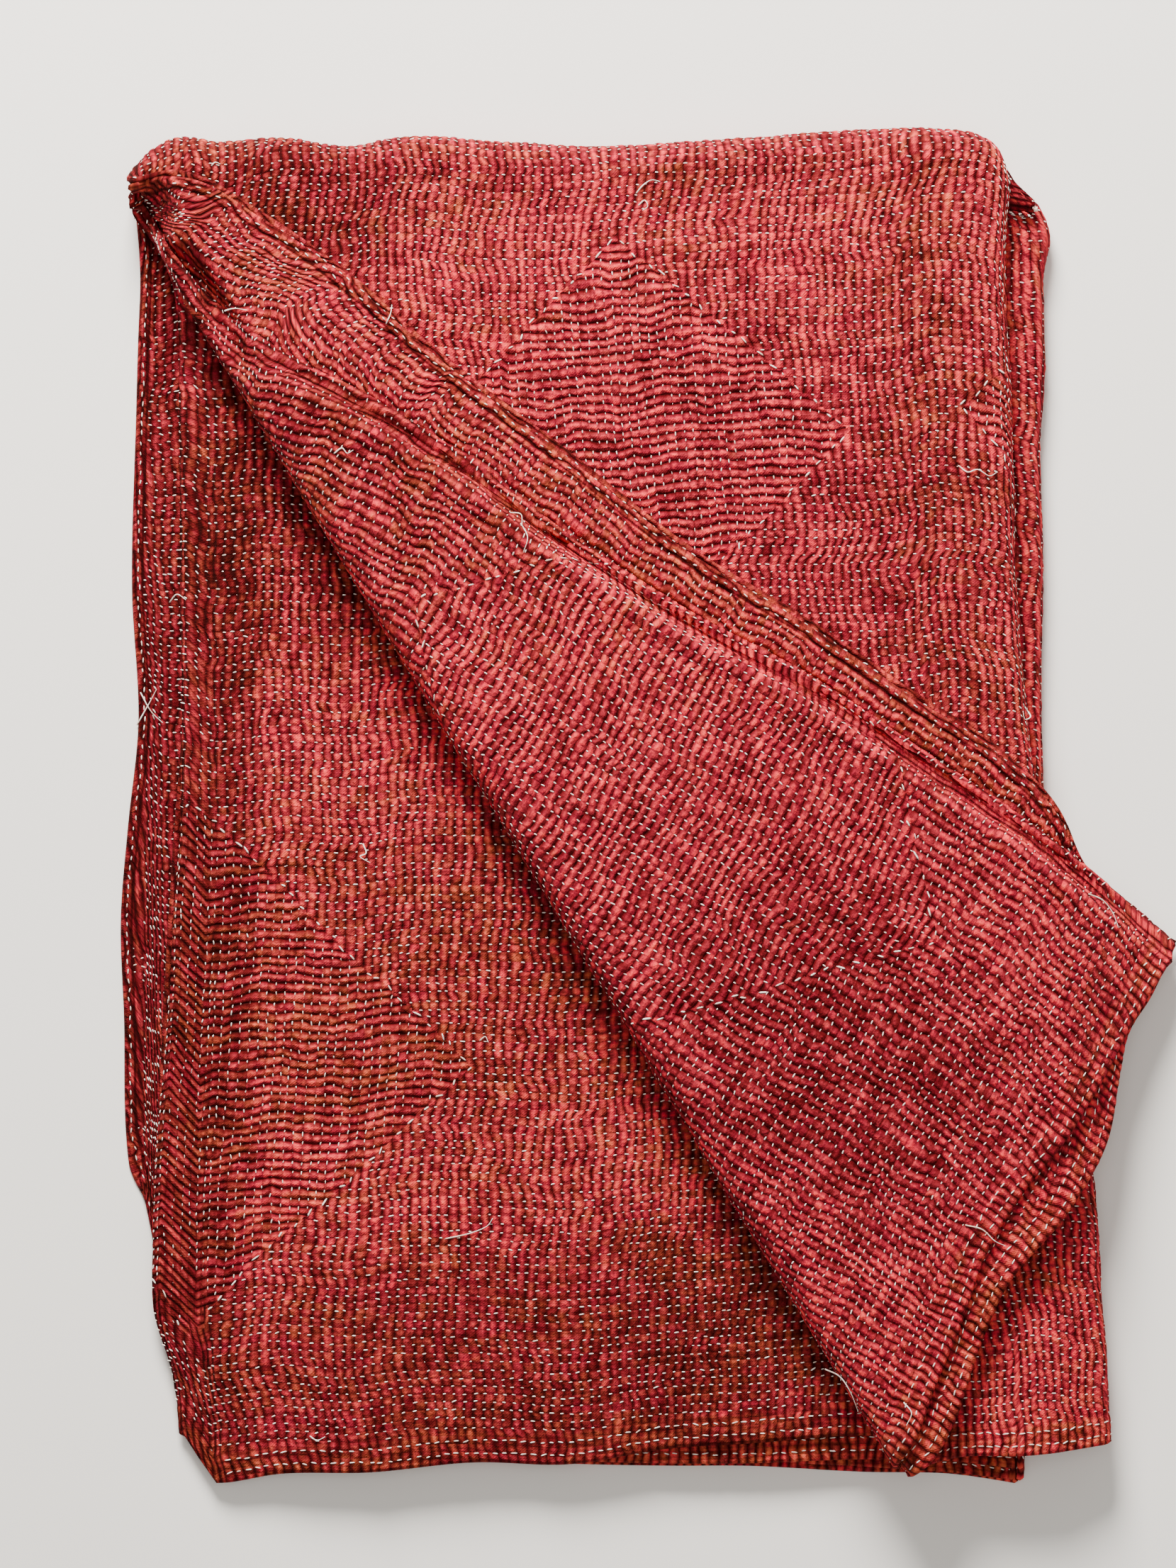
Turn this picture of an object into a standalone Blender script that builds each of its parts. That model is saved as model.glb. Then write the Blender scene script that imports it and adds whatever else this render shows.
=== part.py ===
"""A hand-quilted cotton throw, folded to eight layers, its lower left turned back over a diagonal.

One sheet is cut as a flat mesh, bent over four fold lines in the order in which hands would fold it,
and then laid to the uneven outline of the real pile. Metres, +Z up. The origin is on the floor, under
the middle of the folded throw. +Y is the head, where the cross fold lies.
"""

import math

import bmesh
import bpy
import numpy as np
from mathutils import Vector

MM = 0.001

# Cloth
CLOTH = 2.4 * MM  # two or three layers of worn cotton with running stitch
PITCH = 4.2 * MM  # from one layer to the next in the pile
CELL = 52 * MM  # largest side of a face
ARC_FACE = 5.5 * MM  # length of one face round a fold
NEAR_HEAD = (11 * MM, 24 * MM, 40 * MM, 62 * MM)  # extra rows of faces this far from the cross fold
MADDER_RED = (0.39, 0.052, 0.050, 1.0)
COTTON_ROUGHNESS = 0.92

# The pile before it is turned back: places of its fold lines and hems
SIDE_HEM = -250 * MM  # hem of the lowest layer
SIDE_FOLD = 187 * MM  # line of the fold at the right
INNER_FOLD = -206 * MM  # line of the fold between the second and third strip, at the left
SECOND_HEM = -224 * MM  # the other hem, one layer up
FOOT_HEM = -322 * MM
HEAD_FOLD = 309 * MM  # line of the cross fold
UPPER_FOOT = -313 * MM  # foot of the top layer once it is laid over

# The line over which the upper half is turned back, from its head to its tip, in the finished pile
TURN_HEAD = (-243 * MM, 309 * MM)
TURN_TIP = (140.5 * MM, -322 * MM)

# Left edges of the lower four layers, from the head to the foot, in mm: y, then x of each layer's edge
LOWER_LEFT = (
    # y, first, second, third, fourth
    (310, -250, -249, -240, -238),
    (290, -248, -238, -232, -229),
    (262, -246, -222, -217, -213),
    (230, -247, -217, -212.5, -208),
    (193, -248, -217, -212.5, -207.5),
    (107, -250, -219, -212.4, -206),
    (39, -247, -225, -211.8, -205),
    (-9, -252, -229, -212.5, -205.5),
    (-55, -255.5, -232, -215.5, -207),
    (-100, -254, -234.5, -218, -208),
    (-177, -251, -236, -225, -209.5),
    (-211, -244, -233, -226, -210),
    (-249, -232, -231, -225, -209.5),
    (-276, -228, -229, -217, -207.5),
    (-330, -225, -228, -213, -202),
)

# Bottom edges of the lower four layers, in mm: x, then y of each layer's edge
LOWER_FOOT = (
    # x, first, second, third, fourth
    (-245, -208, -172, -300, -326),
    (-235, -241, -176, -302, -327),
    (-226, -249, -183, -306, -328),
    (-210, -254, -186, -311, -329),
    (-178, -280, -196, -316, -324),
    (-135, -308, -218, -318, -323),
    (-82, -318, -252, -318, -318),
    (-38, -320, -280, -318, -319),
    (14, -321, -302, -319, -311),
    (48, -321, -315, -319, -309),
    (108, -324, -321, -317, -305),
    (151, -325, -324, -318, -308),
    (185, -330, -328, -322, -314),
)

# Silhouettes at the right, from the head to the foot, in mm: y, lower half, upper half
RIGHT_EDGE = (
    # y, lower, upper
    (326, 173, 173),
    (311, 175, 176),
    (303, 182, 177.5),
    (296, 191, 177),
    (287, 196.5, 176),
    (255, 194.4, 175.4),
    (217, 195.8, 177.5),
    (176, 193, 178.5),
    (130, 194.5, 180),
    (68, 194, 183.4),
    (12, 194.8, 190.3),
    (-80, 193.5, 203),
    (-177, 191, 218),
    (-206, 190, 221.3),
    (-231, 189, 222.7),
    (-308, 186, 227.2),
    (-330, 185, 228),
)

# Silhouette of the cross fold at the head, in mm: x, y
HEAD_EDGE = (
    (-252, 306),
    (-246, 315),
    (-234, 325),
    (-205, 325),
    (-178, 327),
    (-142, 323),
    (-118, 327),
    (-75, 325),
    (-27, 323),
    (52, 327),
    (97, 330),
    (142, 331),
    (160, 329),
    (175, 322),
    (200, 318),
)

# Foot of the upper half where it isn't turned back, in mm: x, y
UPPER_FOOT_EDGE = ((150, -314), (185, -313), (228, -308))

# Hems and fold along the long side of the turned part, in mm: x, y in the finished pile
TURNED_HEM = (
    (-217, 306),
    (-187, 289),
    (-157, 269),
    (-97, 218),
    (-38, 173),
    (22, 126),
    (82, 89),
    (127, 58),
    (172, 28),
    (201, -2),
    (213, -27),
    (241, -51),
    (255, -63),
)
TURNED_FOLD = (
    (-178, 210),
    (-148, 195),
    (-88, 158),
    (-58, 135),
    (12, 89),
    (89, 46),
    (127, 20),
    (172, -10),
    (206, -35),
    (231, -55),
    (254, -75),
)
HEM_STAGGER = 5 * MM  # the second hem lies this far inside the first

# Foot of the turned part, from the corner to the tip, in mm: x, y of the lower layers and of the top layer
TURNED_FOOT = (
    (254, -75),
    (246, -91),
    (234, -110),
    (230, -128),
    (224, -160),
    (205, -193),
    (173, -232),
    (160, -262),
    (149, -295),
    (140, -312),
)
TURNED_FOOT_TOP = (
    (252, -79),
    (236, -104),
    (219, -134),
    (202, -160),
    (183, -183),
    (165, -212),
    (151, -250),
    (139, -279),
    (130, -303),
)

# Where the cloth has nothing under it, it sinks: a line in plan, the way down, how steeply, and from which
# layer up. A second row with less slope on the same heading flattens the fall again.
SAGS = (
    # x, y, heading in degrees, slope, lowest layer
    (198, 0, 0, 0.30, 3.5),
    (222, 0, 0, -0.10, 3.5),
    (204, 0, 0, 0.22, 7.5),
    (218, 0, 0, 0.16, 7.5),
    (240, 0, 0, -0.20, 7.5),
    (-170, -280, 225, 0.06, 1.5),
    (-184, -300, 225, 0.08, 1.5),
)

PILE_CENTRE = (2.3 * MM, 0.8 * MM)  # middle of the finished footprint, moved to the origin at the end

# The folds. Each axis lies between two layers, so many pitches above the middle of the lowest one
STRIPS = 4
TURN_AXIS = 7.5
HEAD_RADIUS = 3.5 * PITCH  # of the lowest layer round the cross fold
SIDE_RADIUS = 1.5 * PITCH
INNER_RADIUS = 0.5 * PITCH
FIRST_Z = CLOTH / 2
RIGHT_REACH = SIDE_RADIUS + CLOTH / 2  # a fold's silhouette stands this far past its line
HEAD_REACH = HEAD_RADIUS + CLOTH / 2
LEFT_REACH = INNER_RADIUS + CLOTH / 2
OWN_EDGE = 0.3  # a layer keeps its own edge this far up and down, in pitches
LAYING_ROUNDS = 3  # x and y of a laid place depend on each other, and settle in three rounds


def arc(radius):
    """Length of cloth in a half turn of this radius."""
    return math.pi * radius


# Flat places of the fold lines, measured along the sheet from its first hem, which lies at SIDE_HEM
MIDDLE_LINE = SIDE_FOLD + (SIDE_FOLD - INNER_FOLD) + arc(SIDE_RADIUS)
LAST_HEM = MIDDLE_LINE + (MIDDLE_LINE - SECOND_HEM) + arc(INNER_RADIUS)
LATE_FOLD = 2 * MIDDLE_LINE + arc(INNER_RADIUS) - SIDE_FOLD
FLAT_HEAD = HEAD_FOLD + arc(HEAD_RADIUS) + (HEAD_FOLD - UPPER_FOOT)
HALF_WAY = HEAD_FOLD + arc(HEAD_RADIUS) / 2


def smooth_table(places, rows, column):
    """Values of a table's column at these places, by a smooth curve through its rows."""
    table = np.array(sorted((row[0], row[column]) for row in rows), float) * MM
    at, value = table[:, 0], table[:, 1]
    slope = np.gradient(value, at)
    places = np.clip(places, at[0], at[-1])
    index = np.clip(np.searchsorted(at, places) - 1, 0, len(at) - 2)
    span = at[index + 1] - at[index]
    t = (places - at[index]) / span
    return (
        value[index] * (1 + 2 * t) * (1 - t) ** 2
        + value[index + 1] * t * t * (3 - 2 * t)
        + slope[index] * span * t * (1 - t) ** 2
        - slope[index + 1] * span * t * t * (1 - t)
    )


def turn_axes():
    """Start, direction and outward normal of the diagonal, the normal pointing away from the turned part."""
    start = np.array(TURN_HEAD)
    along = np.array(TURN_TIP) - start
    along /= np.linalg.norm(along)
    return start, along, np.array((along[1], -along[0]))


def bend(points, normals, moving, start, outward, axis_z):
    """Bends the moving points over a line in plan, each round the radius that its height leaves."""
    away = (points[:, :2] - start) @ outward
    radius = axis_z - points[:, 2]
    turning = moving & (away > 0)
    angle = np.where(turning, np.clip(away / radius, 0, math.pi), 0)
    past = np.where(turning, np.maximum(away - math.pi * radius, 0), 0)
    placed = np.where(turning, radius * np.sin(angle) - past, away)
    points = points.copy()
    points[:, :2] += np.outer(placed - away, outward)
    points[:, 2] = np.where(turning, axis_z - radius * np.cos(angle), points[:, 2])
    flat_part = normals[:, :2] @ outward
    up_part = normals[:, 2].copy()
    turned_flat = flat_part * np.cos(angle) - up_part * np.sin(angle)
    normals = normals.copy()
    normals[:, :2] += np.outer(turned_flat - flat_part, outward)
    normals[:, 2] = flat_part * np.sin(angle) + up_part * np.cos(angle)
    return points, normals


def unrolled(edge, radius):
    """Where an edge of the turned part lay before the turn, for a layer that bends at this radius."""
    start, along, outward = turn_axes()
    inward = -outward
    offsets = np.array(edge, float) * MM - start
    reach = offsets @ along
    out = offsets @ inward + arc(radius)
    return start + np.outer(reach, along) - np.outer(out, inward)


def turn_radius(layer):
    """Radius of a layer of the upper half, 4 to 7, round the diagonal."""
    return (TURN_AXIS - layer) * PITCH


def upper_left(layer):
    """Left edge of a layer of the upper half before the turn, as rows of y and x in mm."""
    edge = TURNED_HEM if layer >= 6 else TURNED_FOLD
    rows = unrolled(edge, turn_radius(layer)) / MM
    if layer == 6:
        rows[:, 0] += HEM_STAGGER / MM
    if layer < 6:
        rows[:, 0] += LEFT_REACH / MM
    head = LOWER_LEFT[0][8 - layer]
    return [(LOWER_LEFT[0][0], head)] + [(y, x) for x, y in rows]


def upper_foot(layer):
    """Bottom edge of a layer of the upper half before the turn, as rows of x and y in mm."""
    edge = TURNED_FOOT_TOP if layer == 4 else TURNED_FOOT
    rows = unrolled(edge, turn_radius(layer)) / MM
    return [tuple(row) for row in rows] + list(UPPER_FOOT_EDGE)


def by_layer(level, first, edges, joined=None):
    """Blends the edges of four layers by level: each layer has its own, and the change lies between them.

    joined is the lower of two layers that share a fold at this side: there the change runs through both.
    """
    within = level - first
    lower = np.clip(np.floor(np.clip(within, 0, STRIPS - 1)), 0, STRIPS - 2).astype(int)
    share = np.clip((within - lower - OWN_EDGE) / (1 - 2 * OWN_EDGE), 0, 1)
    if joined is not None:
        in_fold = (within > joined - OWN_EDGE) & (within < joined + 1 + OWN_EDGE)
        lower = np.where(in_fold, joined, lower)
        share = np.where(in_fold, within - joined, share)
    stacked = np.array(edges)
    index = np.arange(stacked.shape[1])
    return stacked[lower, index] * (1 - share) + stacked[lower + 1, index] * share


def side_edges(y, level, upper):
    """x of the left edge and of the right fold line, for each point."""
    low = by_layer(level, 0, [smooth_table(y, LOWER_LEFT, k) for k in (1, 2, 3, 4)], 2)
    high = by_layer(level, 4, [smooth_table(y, upper_left(k), 1) for k in (4, 5, 6, 7)], 0)
    right_low = smooth_table(y, RIGHT_EDGE, 1)
    right_high = smooth_table(y, RIGHT_EDGE, 2)
    return np.where(upper, high, low), np.where(upper, right_high, right_low) - RIGHT_REACH


def end_edges(x, level, upper):
    """y of the bottom edge and of the cross fold line, for each point."""
    low = by_layer(level, 0, [smooth_table(x, LOWER_FOOT, k) for k in (1, 2, 3, 4)])
    high = by_layer(level, 4, [smooth_table(x, upper_foot(k), 1) for k in (4, 5, 6, 7)])
    return np.where(upper, high, low), smooth_table(x, HEAD_EDGE, 1) - HEAD_REACH


def lay_out(points, upper):
    """Moves the points of the straight pile in plan, to the uneven edges of the real one."""
    level = (points[:, 2] - FIRST_Z) / PITCH
    past_head = np.maximum(points[:, 1] - HEAD_FOLD, 0) / PITCH
    axis = HEAD_RADIUS / PITCH
    ring = axis - np.hypot(past_head, level - axis)  # which layer this is, also round the cross fold
    level = np.where(upper, 2 * axis - ring, ring)
    hem = by_layer(level, 0, [np.full(len(points), x) for x in (SIDE_HEM, SECOND_HEM, INNER_FOLD, INNER_FOLD)])
    hem_high = by_layer(
        level, 4, [np.full(len(points), x) for x in (INNER_FOLD, INNER_FOLD, SECOND_HEM, SIDE_HEM)]
    )
    straight_left = np.where(upper, hem_high, hem)
    layer_arc = arc(PITCH) * np.clip(level - axis, axis - STRIPS + 1, axis)
    foot_high = HEAD_FOLD - (FLAT_HEAD - HEAD_FOLD - layer_arc)
    straight_foot = np.where(upper, foot_high, FOOT_HEM)
    across = (points[:, 0] - straight_left) / (SIDE_FOLD - straight_left)
    up = (points[:, 1] - straight_foot) / (HEAD_FOLD - straight_foot)
    y = points[:, 1].copy()
    for _ in range(LAYING_ROUNDS):
        left, right = side_edges(y, level, upper)
        x = left + across * (right - left)
        foot, head = end_edges(x, level, upper)
        y = foot + up * (head - foot)
    laid = points.copy()
    laid[:, 0] = np.where(points[:, 0] > SIDE_FOLD, right + points[:, 0] - SIDE_FOLD, x)
    laid[:, 1] = np.where(points[:, 1] > HEAD_FOLD, head + points[:, 1] - HEAD_FOLD, y)
    return laid


def fold_pile(flat, side):
    """The pile of eight layers, before the turn: middle of the cloth, and its offset to this face."""
    points = np.column_stack([flat, np.full(len(flat), FIRST_Z)])
    normals = np.tile((0.0, 0.0, 1.0), (len(flat), 1))
    everything = np.ones(len(flat), bool)
    across = np.array((1.0, 0.0))
    up = np.array((0.0, 1.0))
    points, normals = bend(
        points, normals, everything, (MIDDLE_LINE, 0), across, FIRST_Z + INNER_RADIUS
    )
    points, normals = bend(
        points, normals, everything, (SIDE_FOLD, 0), across, FIRST_Z + SIDE_RADIUS
    )
    points, normals = bend(
        points, normals, everything, (0, HEAD_FOLD), up, FIRST_Z + HEAD_RADIUS
    )
    faces = points + normals * (side * CLOTH / 2)[:, None]
    upper = flat[:, 1] > HALF_WAY
    middle = lay_out(points, upper)
    outside = lay_out(faces, upper)
    return middle, outside - middle, upper


def turn_back(middle, offset, upper):
    start, _, outward = turn_axes()
    return bend(middle, offset, upper, start, outward, FIRST_Z + TURN_AXIS * PITCH)


def sag(points, level):
    """Lets the cloth down where nothing carries it."""
    drop = np.zeros(len(points))
    for x, y, heading, slope, lowest in SAGS:
        way = np.array((math.cos(math.radians(heading)), math.sin(math.radians(heading))))
        past = (points[:, :2] - np.array((x, y)) * MM) @ way
        drop += np.where(level > lowest, slope * np.maximum(past, 0), 0)
    points = points.copy()
    points[:, 2] -= drop
    return points


def place(flat, side):
    """Finished place of each point of the sheet. side is 1 for its upper face, -1 for its under face."""
    middle, offset, upper = fold_pile(flat, side)
    middle, offset = turn_back(middle, offset, upper)
    points = sag(middle + offset, (middle[:, 2] - FIRST_Z) / PITCH)
    points[:, :2] -= PILE_CENTRE
    return points


def steps(start, length, faces):
    return [start + length * i / faces for i in range(faces + 1)]


def arc_faces(radius):
    return max(3, round(arc(radius) / ARC_FACE))


def cut(bm, start, normal, keep_face=None):
    """Cuts the faces that keep_face accepts by a plane, leaving both parts."""
    chosen = [f for f in bm.faces if keep_face is None or keep_face(f)]
    parts = set(chosen)
    for face in chosen:
        parts.update(face.edges)
        parts.update(face.verts)
    bmesh.ops.bisect_plane(bm, geom=list(parts), dist=1e-6, plane_co=start, plane_no=normal)


def strip_spans():
    """For each strip: its ends along the flat sheet, and the layer that it makes in the lower half."""
    first = SIDE_FOLD + arc(SIDE_RADIUS) / 2
    second = MIDDLE_LINE + arc(INNER_RADIUS) / 2
    third = LATE_FOLD - arc(INNER_RADIUS) / 2
    return (
        (SIDE_HEM, first, 0),
        (first, second, 3),
        (second, third, 2),
        (third, LAST_HEM, 1),
    )


def even_lines(start, end):
    count = max(1, math.ceil((end - start) / CELL))
    return [start + (end - start) * i / count for i in range(1, count)]


def flat_sheet():
    """The sheet as cut, with an edge wherever a fold bends it."""
    bm = bmesh.new()
    corners = [
        (SIDE_HEM, FOOT_HEM, 0),
        (LAST_HEM, FOOT_HEM, 0),
        (LAST_HEM, FLAT_HEAD, 0),
        (SIDE_HEM, FLAT_HEAD, 0),
    ]
    bm.faces.new([bm.verts.new(corner) for corner in corners])
    outer = arc(SIDE_RADIUS)
    inner = arc(INNER_RADIUS)
    across = (
        steps(SIDE_FOLD, outer, arc_faces(SIDE_RADIUS))
        + steps(MIDDLE_LINE, inner, arc_faces(INNER_RADIUS))
        + steps(LATE_FOLD - inner, inner, arc_faces(INNER_RADIUS))
        + even_lines(SIDE_HEM, SIDE_FOLD)
        + even_lines(SIDE_FOLD + outer, MIDDLE_LINE)
        + even_lines(MIDDLE_LINE + inner, LATE_FOLD - inner)
        + even_lines(LATE_FOLD, LAST_HEM)
    )
    for x in across:
        cut(bm, (x, 0, 0), (1, 0, 0))
    for y in [HEAD_FOLD] + even_lines(FOOT_HEM, HEAD_FOLD) + even_lines(HEAD_FOLD, FLAT_HEAD):
        cut(bm, (0, y, 0), (0, 1, 0))
    for left, right, layer in strip_spans():
        radius = HEAD_RADIUS - layer * PITCH
        bends = steps(HEAD_FOLD, arc(radius), arc_faces(radius))
        near = [bends[0] - away for away in NEAR_HEAD] + [bends[-1] + away for away in NEAR_HEAD]
        for y in bends + near:
            cut(bm, (0, y, 0), (0, 1, 0), lambda f: left < f.calc_center_median().x < right)
    return bm


def keep_flat_places(bm):
    layer = bm.verts.layers.float_vector.new("flat")
    for vert in bm.verts:
        vert[layer] = vert.co
    return layer


def move(bm, layer, mover):
    """Sets each vertex from its flat place."""
    verts = list(bm.verts)
    flat = np.array([vert[layer][:2] for vert in verts])
    for vert, co in zip(verts, mover(flat)):
        vert.co = co


def pile_only(flat):
    return fold_pile(flat, np.zeros(len(flat)))[0]


def middle_only(flat):
    return place(flat, np.zeros(len(flat)))


def cut_turn(bm, layer):
    """Cuts the upper half where it bends over the diagonal."""
    start, _, outward = turn_axes()
    for strip_left, strip_right, low_layer in strip_spans():
        radius = turn_radius(7 - low_layer)

        def in_strip(face):
            flat = sum((vert[layer] for vert in face.verts), Vector()) / len(face.verts)
            return strip_left < flat.x < strip_right and flat.y > HALF_WAY

        for away in steps(0, arc(radius), arc_faces(radius)):
            point = start + outward * away
            cut(bm, (point[0], point[1], 0), (outward[0], outward[1], 0), in_strip)


def cut_sags(bm):
    """Cuts the cloth along the lines where it starts to sink."""
    for x, y, heading, _, lowest in SAGS:
        floor = FIRST_Z + lowest * PITCH
        way = (math.cos(math.radians(heading)), math.sin(math.radians(heading)), 0)
        start = (x * MM - PILE_CENTRE[0], y * MM - PILE_CENTRE[1], 0)
        cut(bm, start, way, lambda f: f.calc_center_median().z > floor)


def thicken(bm, layer):
    """Gives the sheet its second face and its hem edges, and puts both faces in place."""
    bmesh.ops.triangulate(bm, faces=bm.faces)
    upper_verts = list(bm.verts)
    made = bmesh.ops.duplicate(bm, geom=list(bm.verts) + list(bm.edges) + list(bm.faces))
    under_faces = [item for item in made["geom"] if isinstance(item, bmesh.types.BMFace)]
    under_verts = [item for item in made["geom"] if isinstance(item, bmesh.types.BMVert)]
    bmesh.ops.reverse_faces(bm, faces=under_faces)
    for verts, side in ((upper_verts, 1), (under_verts, -1)):
        flat = np.array([vert[layer][:2] for vert in verts])
        for vert, co in zip(verts, place(flat, np.full(len(verts), side))):
            vert.co = co
    rim = [edge for edge in bm.edges if edge.is_boundary]
    bmesh.ops.bridge_loops(bm, edges=rim)
    bmesh.ops.triangulate(bm, faces=bm.faces)
    bmesh.ops.recalc_face_normals(bm, faces=bm.faces)


def quilted_cotton():
    material = bpy.data.materials.new("quilted_cotton")
    material.use_nodes = True
    shader = material.node_tree.nodes["Principled BSDF"]
    shader.inputs["Base Color"].default_value = MADDER_RED
    shader.inputs["Roughness"].default_value = COTTON_ROUGHNESS
    shader.inputs["Metallic"].default_value = 0.0
    return material


def make_throw():
    bm = flat_sheet()
    layer = keep_flat_places(bm)
    move(bm, layer, pile_only)
    cut_turn(bm, layer)
    move(bm, layer, middle_only)
    cut_sags(bm)
    thicken(bm, layer)
    mesh = bpy.data.meshes.new("throw")
    bm.to_mesh(mesh)
    bm.free()
    mesh.shade_smooth()
    mesh.materials.append(quilted_cotton())
    throw = bpy.data.objects.new("throw", mesh)
    bpy.context.scene.collection.objects.link(throw)
    return throw


def main():
    for obj in list(bpy.data.objects):
        bpy.data.objects.remove(obj)
    make_throw()


main()
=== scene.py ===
"""The looks of a hand-quilted cotton throw: its cloth with every fold, the running stitch, and the light.

The sheet is followed flat, from its first hem at the left edge of the pile to its last hem, and each point is
placed by the same folds as the solid. Metres, +Z up, +Y is the head of the pile.
"""

import math

import bpy
import numpy as np
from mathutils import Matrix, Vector
from mathutils.bvhtree import BVHTree


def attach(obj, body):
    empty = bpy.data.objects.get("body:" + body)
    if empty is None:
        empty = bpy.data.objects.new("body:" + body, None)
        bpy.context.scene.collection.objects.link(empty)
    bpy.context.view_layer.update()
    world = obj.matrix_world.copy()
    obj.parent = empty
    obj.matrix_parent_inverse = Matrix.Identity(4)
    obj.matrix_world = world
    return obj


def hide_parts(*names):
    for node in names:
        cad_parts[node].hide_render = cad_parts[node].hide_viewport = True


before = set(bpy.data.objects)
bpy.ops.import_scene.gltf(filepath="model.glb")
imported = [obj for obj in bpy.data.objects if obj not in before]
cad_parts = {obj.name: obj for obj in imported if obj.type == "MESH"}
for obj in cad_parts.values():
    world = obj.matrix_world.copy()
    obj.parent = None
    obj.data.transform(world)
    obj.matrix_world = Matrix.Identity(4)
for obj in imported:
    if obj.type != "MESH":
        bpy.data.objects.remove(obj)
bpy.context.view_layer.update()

MM = 0.001

# Cloth
CLOTH = 2.4 * MM  # two or three layers of worn cotton with running stitch
PITCH = 4.2 * MM  # from one layer to the next in the pile

# The pile before it is turned back: places of its fold lines and hems
SIDE_HEM = -250 * MM  # hem of the lowest layer
SIDE_FOLD = 187 * MM  # line of the fold at the right
INNER_FOLD = -206 * MM  # line of the fold between the second and third strip, at the left
SECOND_HEM = -224 * MM  # the other hem, one layer up
FOOT_HEM = -322 * MM
HEAD_FOLD = 309 * MM  # line of the cross fold
UPPER_FOOT = -313 * MM  # foot of the top layer once it is laid over

# The line over which the upper half is turned back, from its head to its tip, in the finished pile
TURN_HEAD = (-243 * MM, 309 * MM)
TURN_TIP = (140.5 * MM, -322 * MM)

# Left edges of the lower four layers, from the head to the foot, in mm: y, then x of each layer's edge
LOWER_LEFT = (
    # y, first, second, third, fourth
    (310, -250, -249, -240, -238),
    (290, -248, -238, -232, -229),
    (262, -246, -222, -217, -213),
    (230, -247, -217, -212.5, -208),
    (193, -248, -217, -212.5, -207.5),
    (107, -250, -219, -212.4, -206),
    (39, -247, -225, -211.8, -205),
    (-9, -252, -229, -212.5, -205.5),
    (-55, -255.5, -232, -215.5, -207),
    (-100, -254, -234.5, -218, -208),
    (-177, -251, -236, -225, -209.5),
    (-211, -244, -233, -226, -210),
    (-249, -232, -231, -225, -209.5),
    (-276, -228, -229, -217, -207.5),
    (-330, -225, -228, -213, -202),
)

# Bottom edges of the lower four layers, in mm: x, then y of each layer's edge
LOWER_FOOT = (
    # x, first, second, third, fourth
    (-245, -208, -172, -300, -326),
    (-235, -241, -176, -302, -327),
    (-226, -249, -183, -306, -328),
    (-210, -254, -186, -311, -329),
    (-178, -280, -196, -316, -324),
    (-135, -308, -218, -318, -323),
    (-82, -318, -252, -318, -318),
    (-38, -320, -280, -318, -319),
    (14, -321, -302, -319, -311),
    (48, -321, -315, -319, -309),
    (108, -324, -321, -317, -305),
    (151, -325, -324, -318, -308),
    (185, -330, -328, -322, -314),
)

# Silhouettes at the right, from the head to the foot, in mm: y, lower half, upper half
RIGHT_EDGE = (
    # y, lower, upper
    (326, 173, 173),
    (311, 175, 176),
    (303, 182, 177.5),
    (296, 191, 177),
    (287, 196.5, 176),
    (255, 194.4, 175.4),
    (217, 195.8, 177.5),
    (176, 193, 178.5),
    (130, 194.5, 180),
    (68, 194, 183.4),
    (12, 194.8, 190.3),
    (-80, 193.5, 203),
    (-177, 191, 218),
    (-206, 190, 221.3),
    (-231, 189, 222.7),
    (-308, 186, 227.2),
    (-330, 185, 228),
)

# Silhouette of the cross fold at the head, in mm: x, y
HEAD_EDGE = (
    (-252, 306), (-246, 315), (-234, 325), (-205, 325), (-178, 327), (-142, 323),
    (-118, 327), (-75, 325), (-27, 323), (52, 327), (97, 330), (142, 331),
    (160, 329), (175, 322), (200, 318),
)

# Foot of the upper half where it isn't turned back, in mm: x, y
UPPER_FOOT_EDGE = ((150, -314), (185, -313), (228, -308))

# Hems and fold along the long side of the turned part, in mm: x, y in the finished pile
TURNED_HEM = (
    (-217, 306), (-187, 289), (-157, 269), (-97, 218), (-38, 173), (22, 126),
    (82, 89), (127, 58), (172, 28), (201, -2), (213, -27), (241, -51),
    (255, -63),
)
TURNED_FOLD = (
    (-178, 210), (-148, 195), (-88, 158), (-58, 135), (12, 89), (89, 46),
    (127, 20), (172, -10), (206, -35), (231, -55), (254, -75),
)
HEM_STAGGER = 3 * MM  # the second hem lies this far inside the first

# Foot of the turned part, from the corner to the tip, in mm: x, y of the lower layers and of the top layer
TURNED_FOOT = (
    (254, -75), (246, -91), (234, -110), (230, -128), (224, -160), (205, -193),
    (173, -232), (160, -262), (149, -295), (140, -312),
)
TURNED_FOOT_TOP = (
    (252, -79), (236, -104), (219, -134), (202, -160), (183, -183), (165, -212),
    (151, -250), (139, -279), (130, -303),
)

# Where the cloth has nothing under it, it sinks: a line in plan, the way down, how steeply, and from which
# layer up. A second row with less slope on the same heading flattens the fall again.
SAGS = (
    # x, y, heading in degrees, slope, lowest layer
    (198, 0, 0, 0.30, 3.5),
    (222, 0, 0, -0.10, 3.5),
    (204, 0, 0, 0.22, 7.5),
    (218, 0, 0, 0.16, 7.5),
    (240, 0, 0, -0.20, 7.5),
    (-170, -280, 225, 0.06, 1.5),
    (-184, -300, 225, 0.08, 1.5),
)

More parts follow.
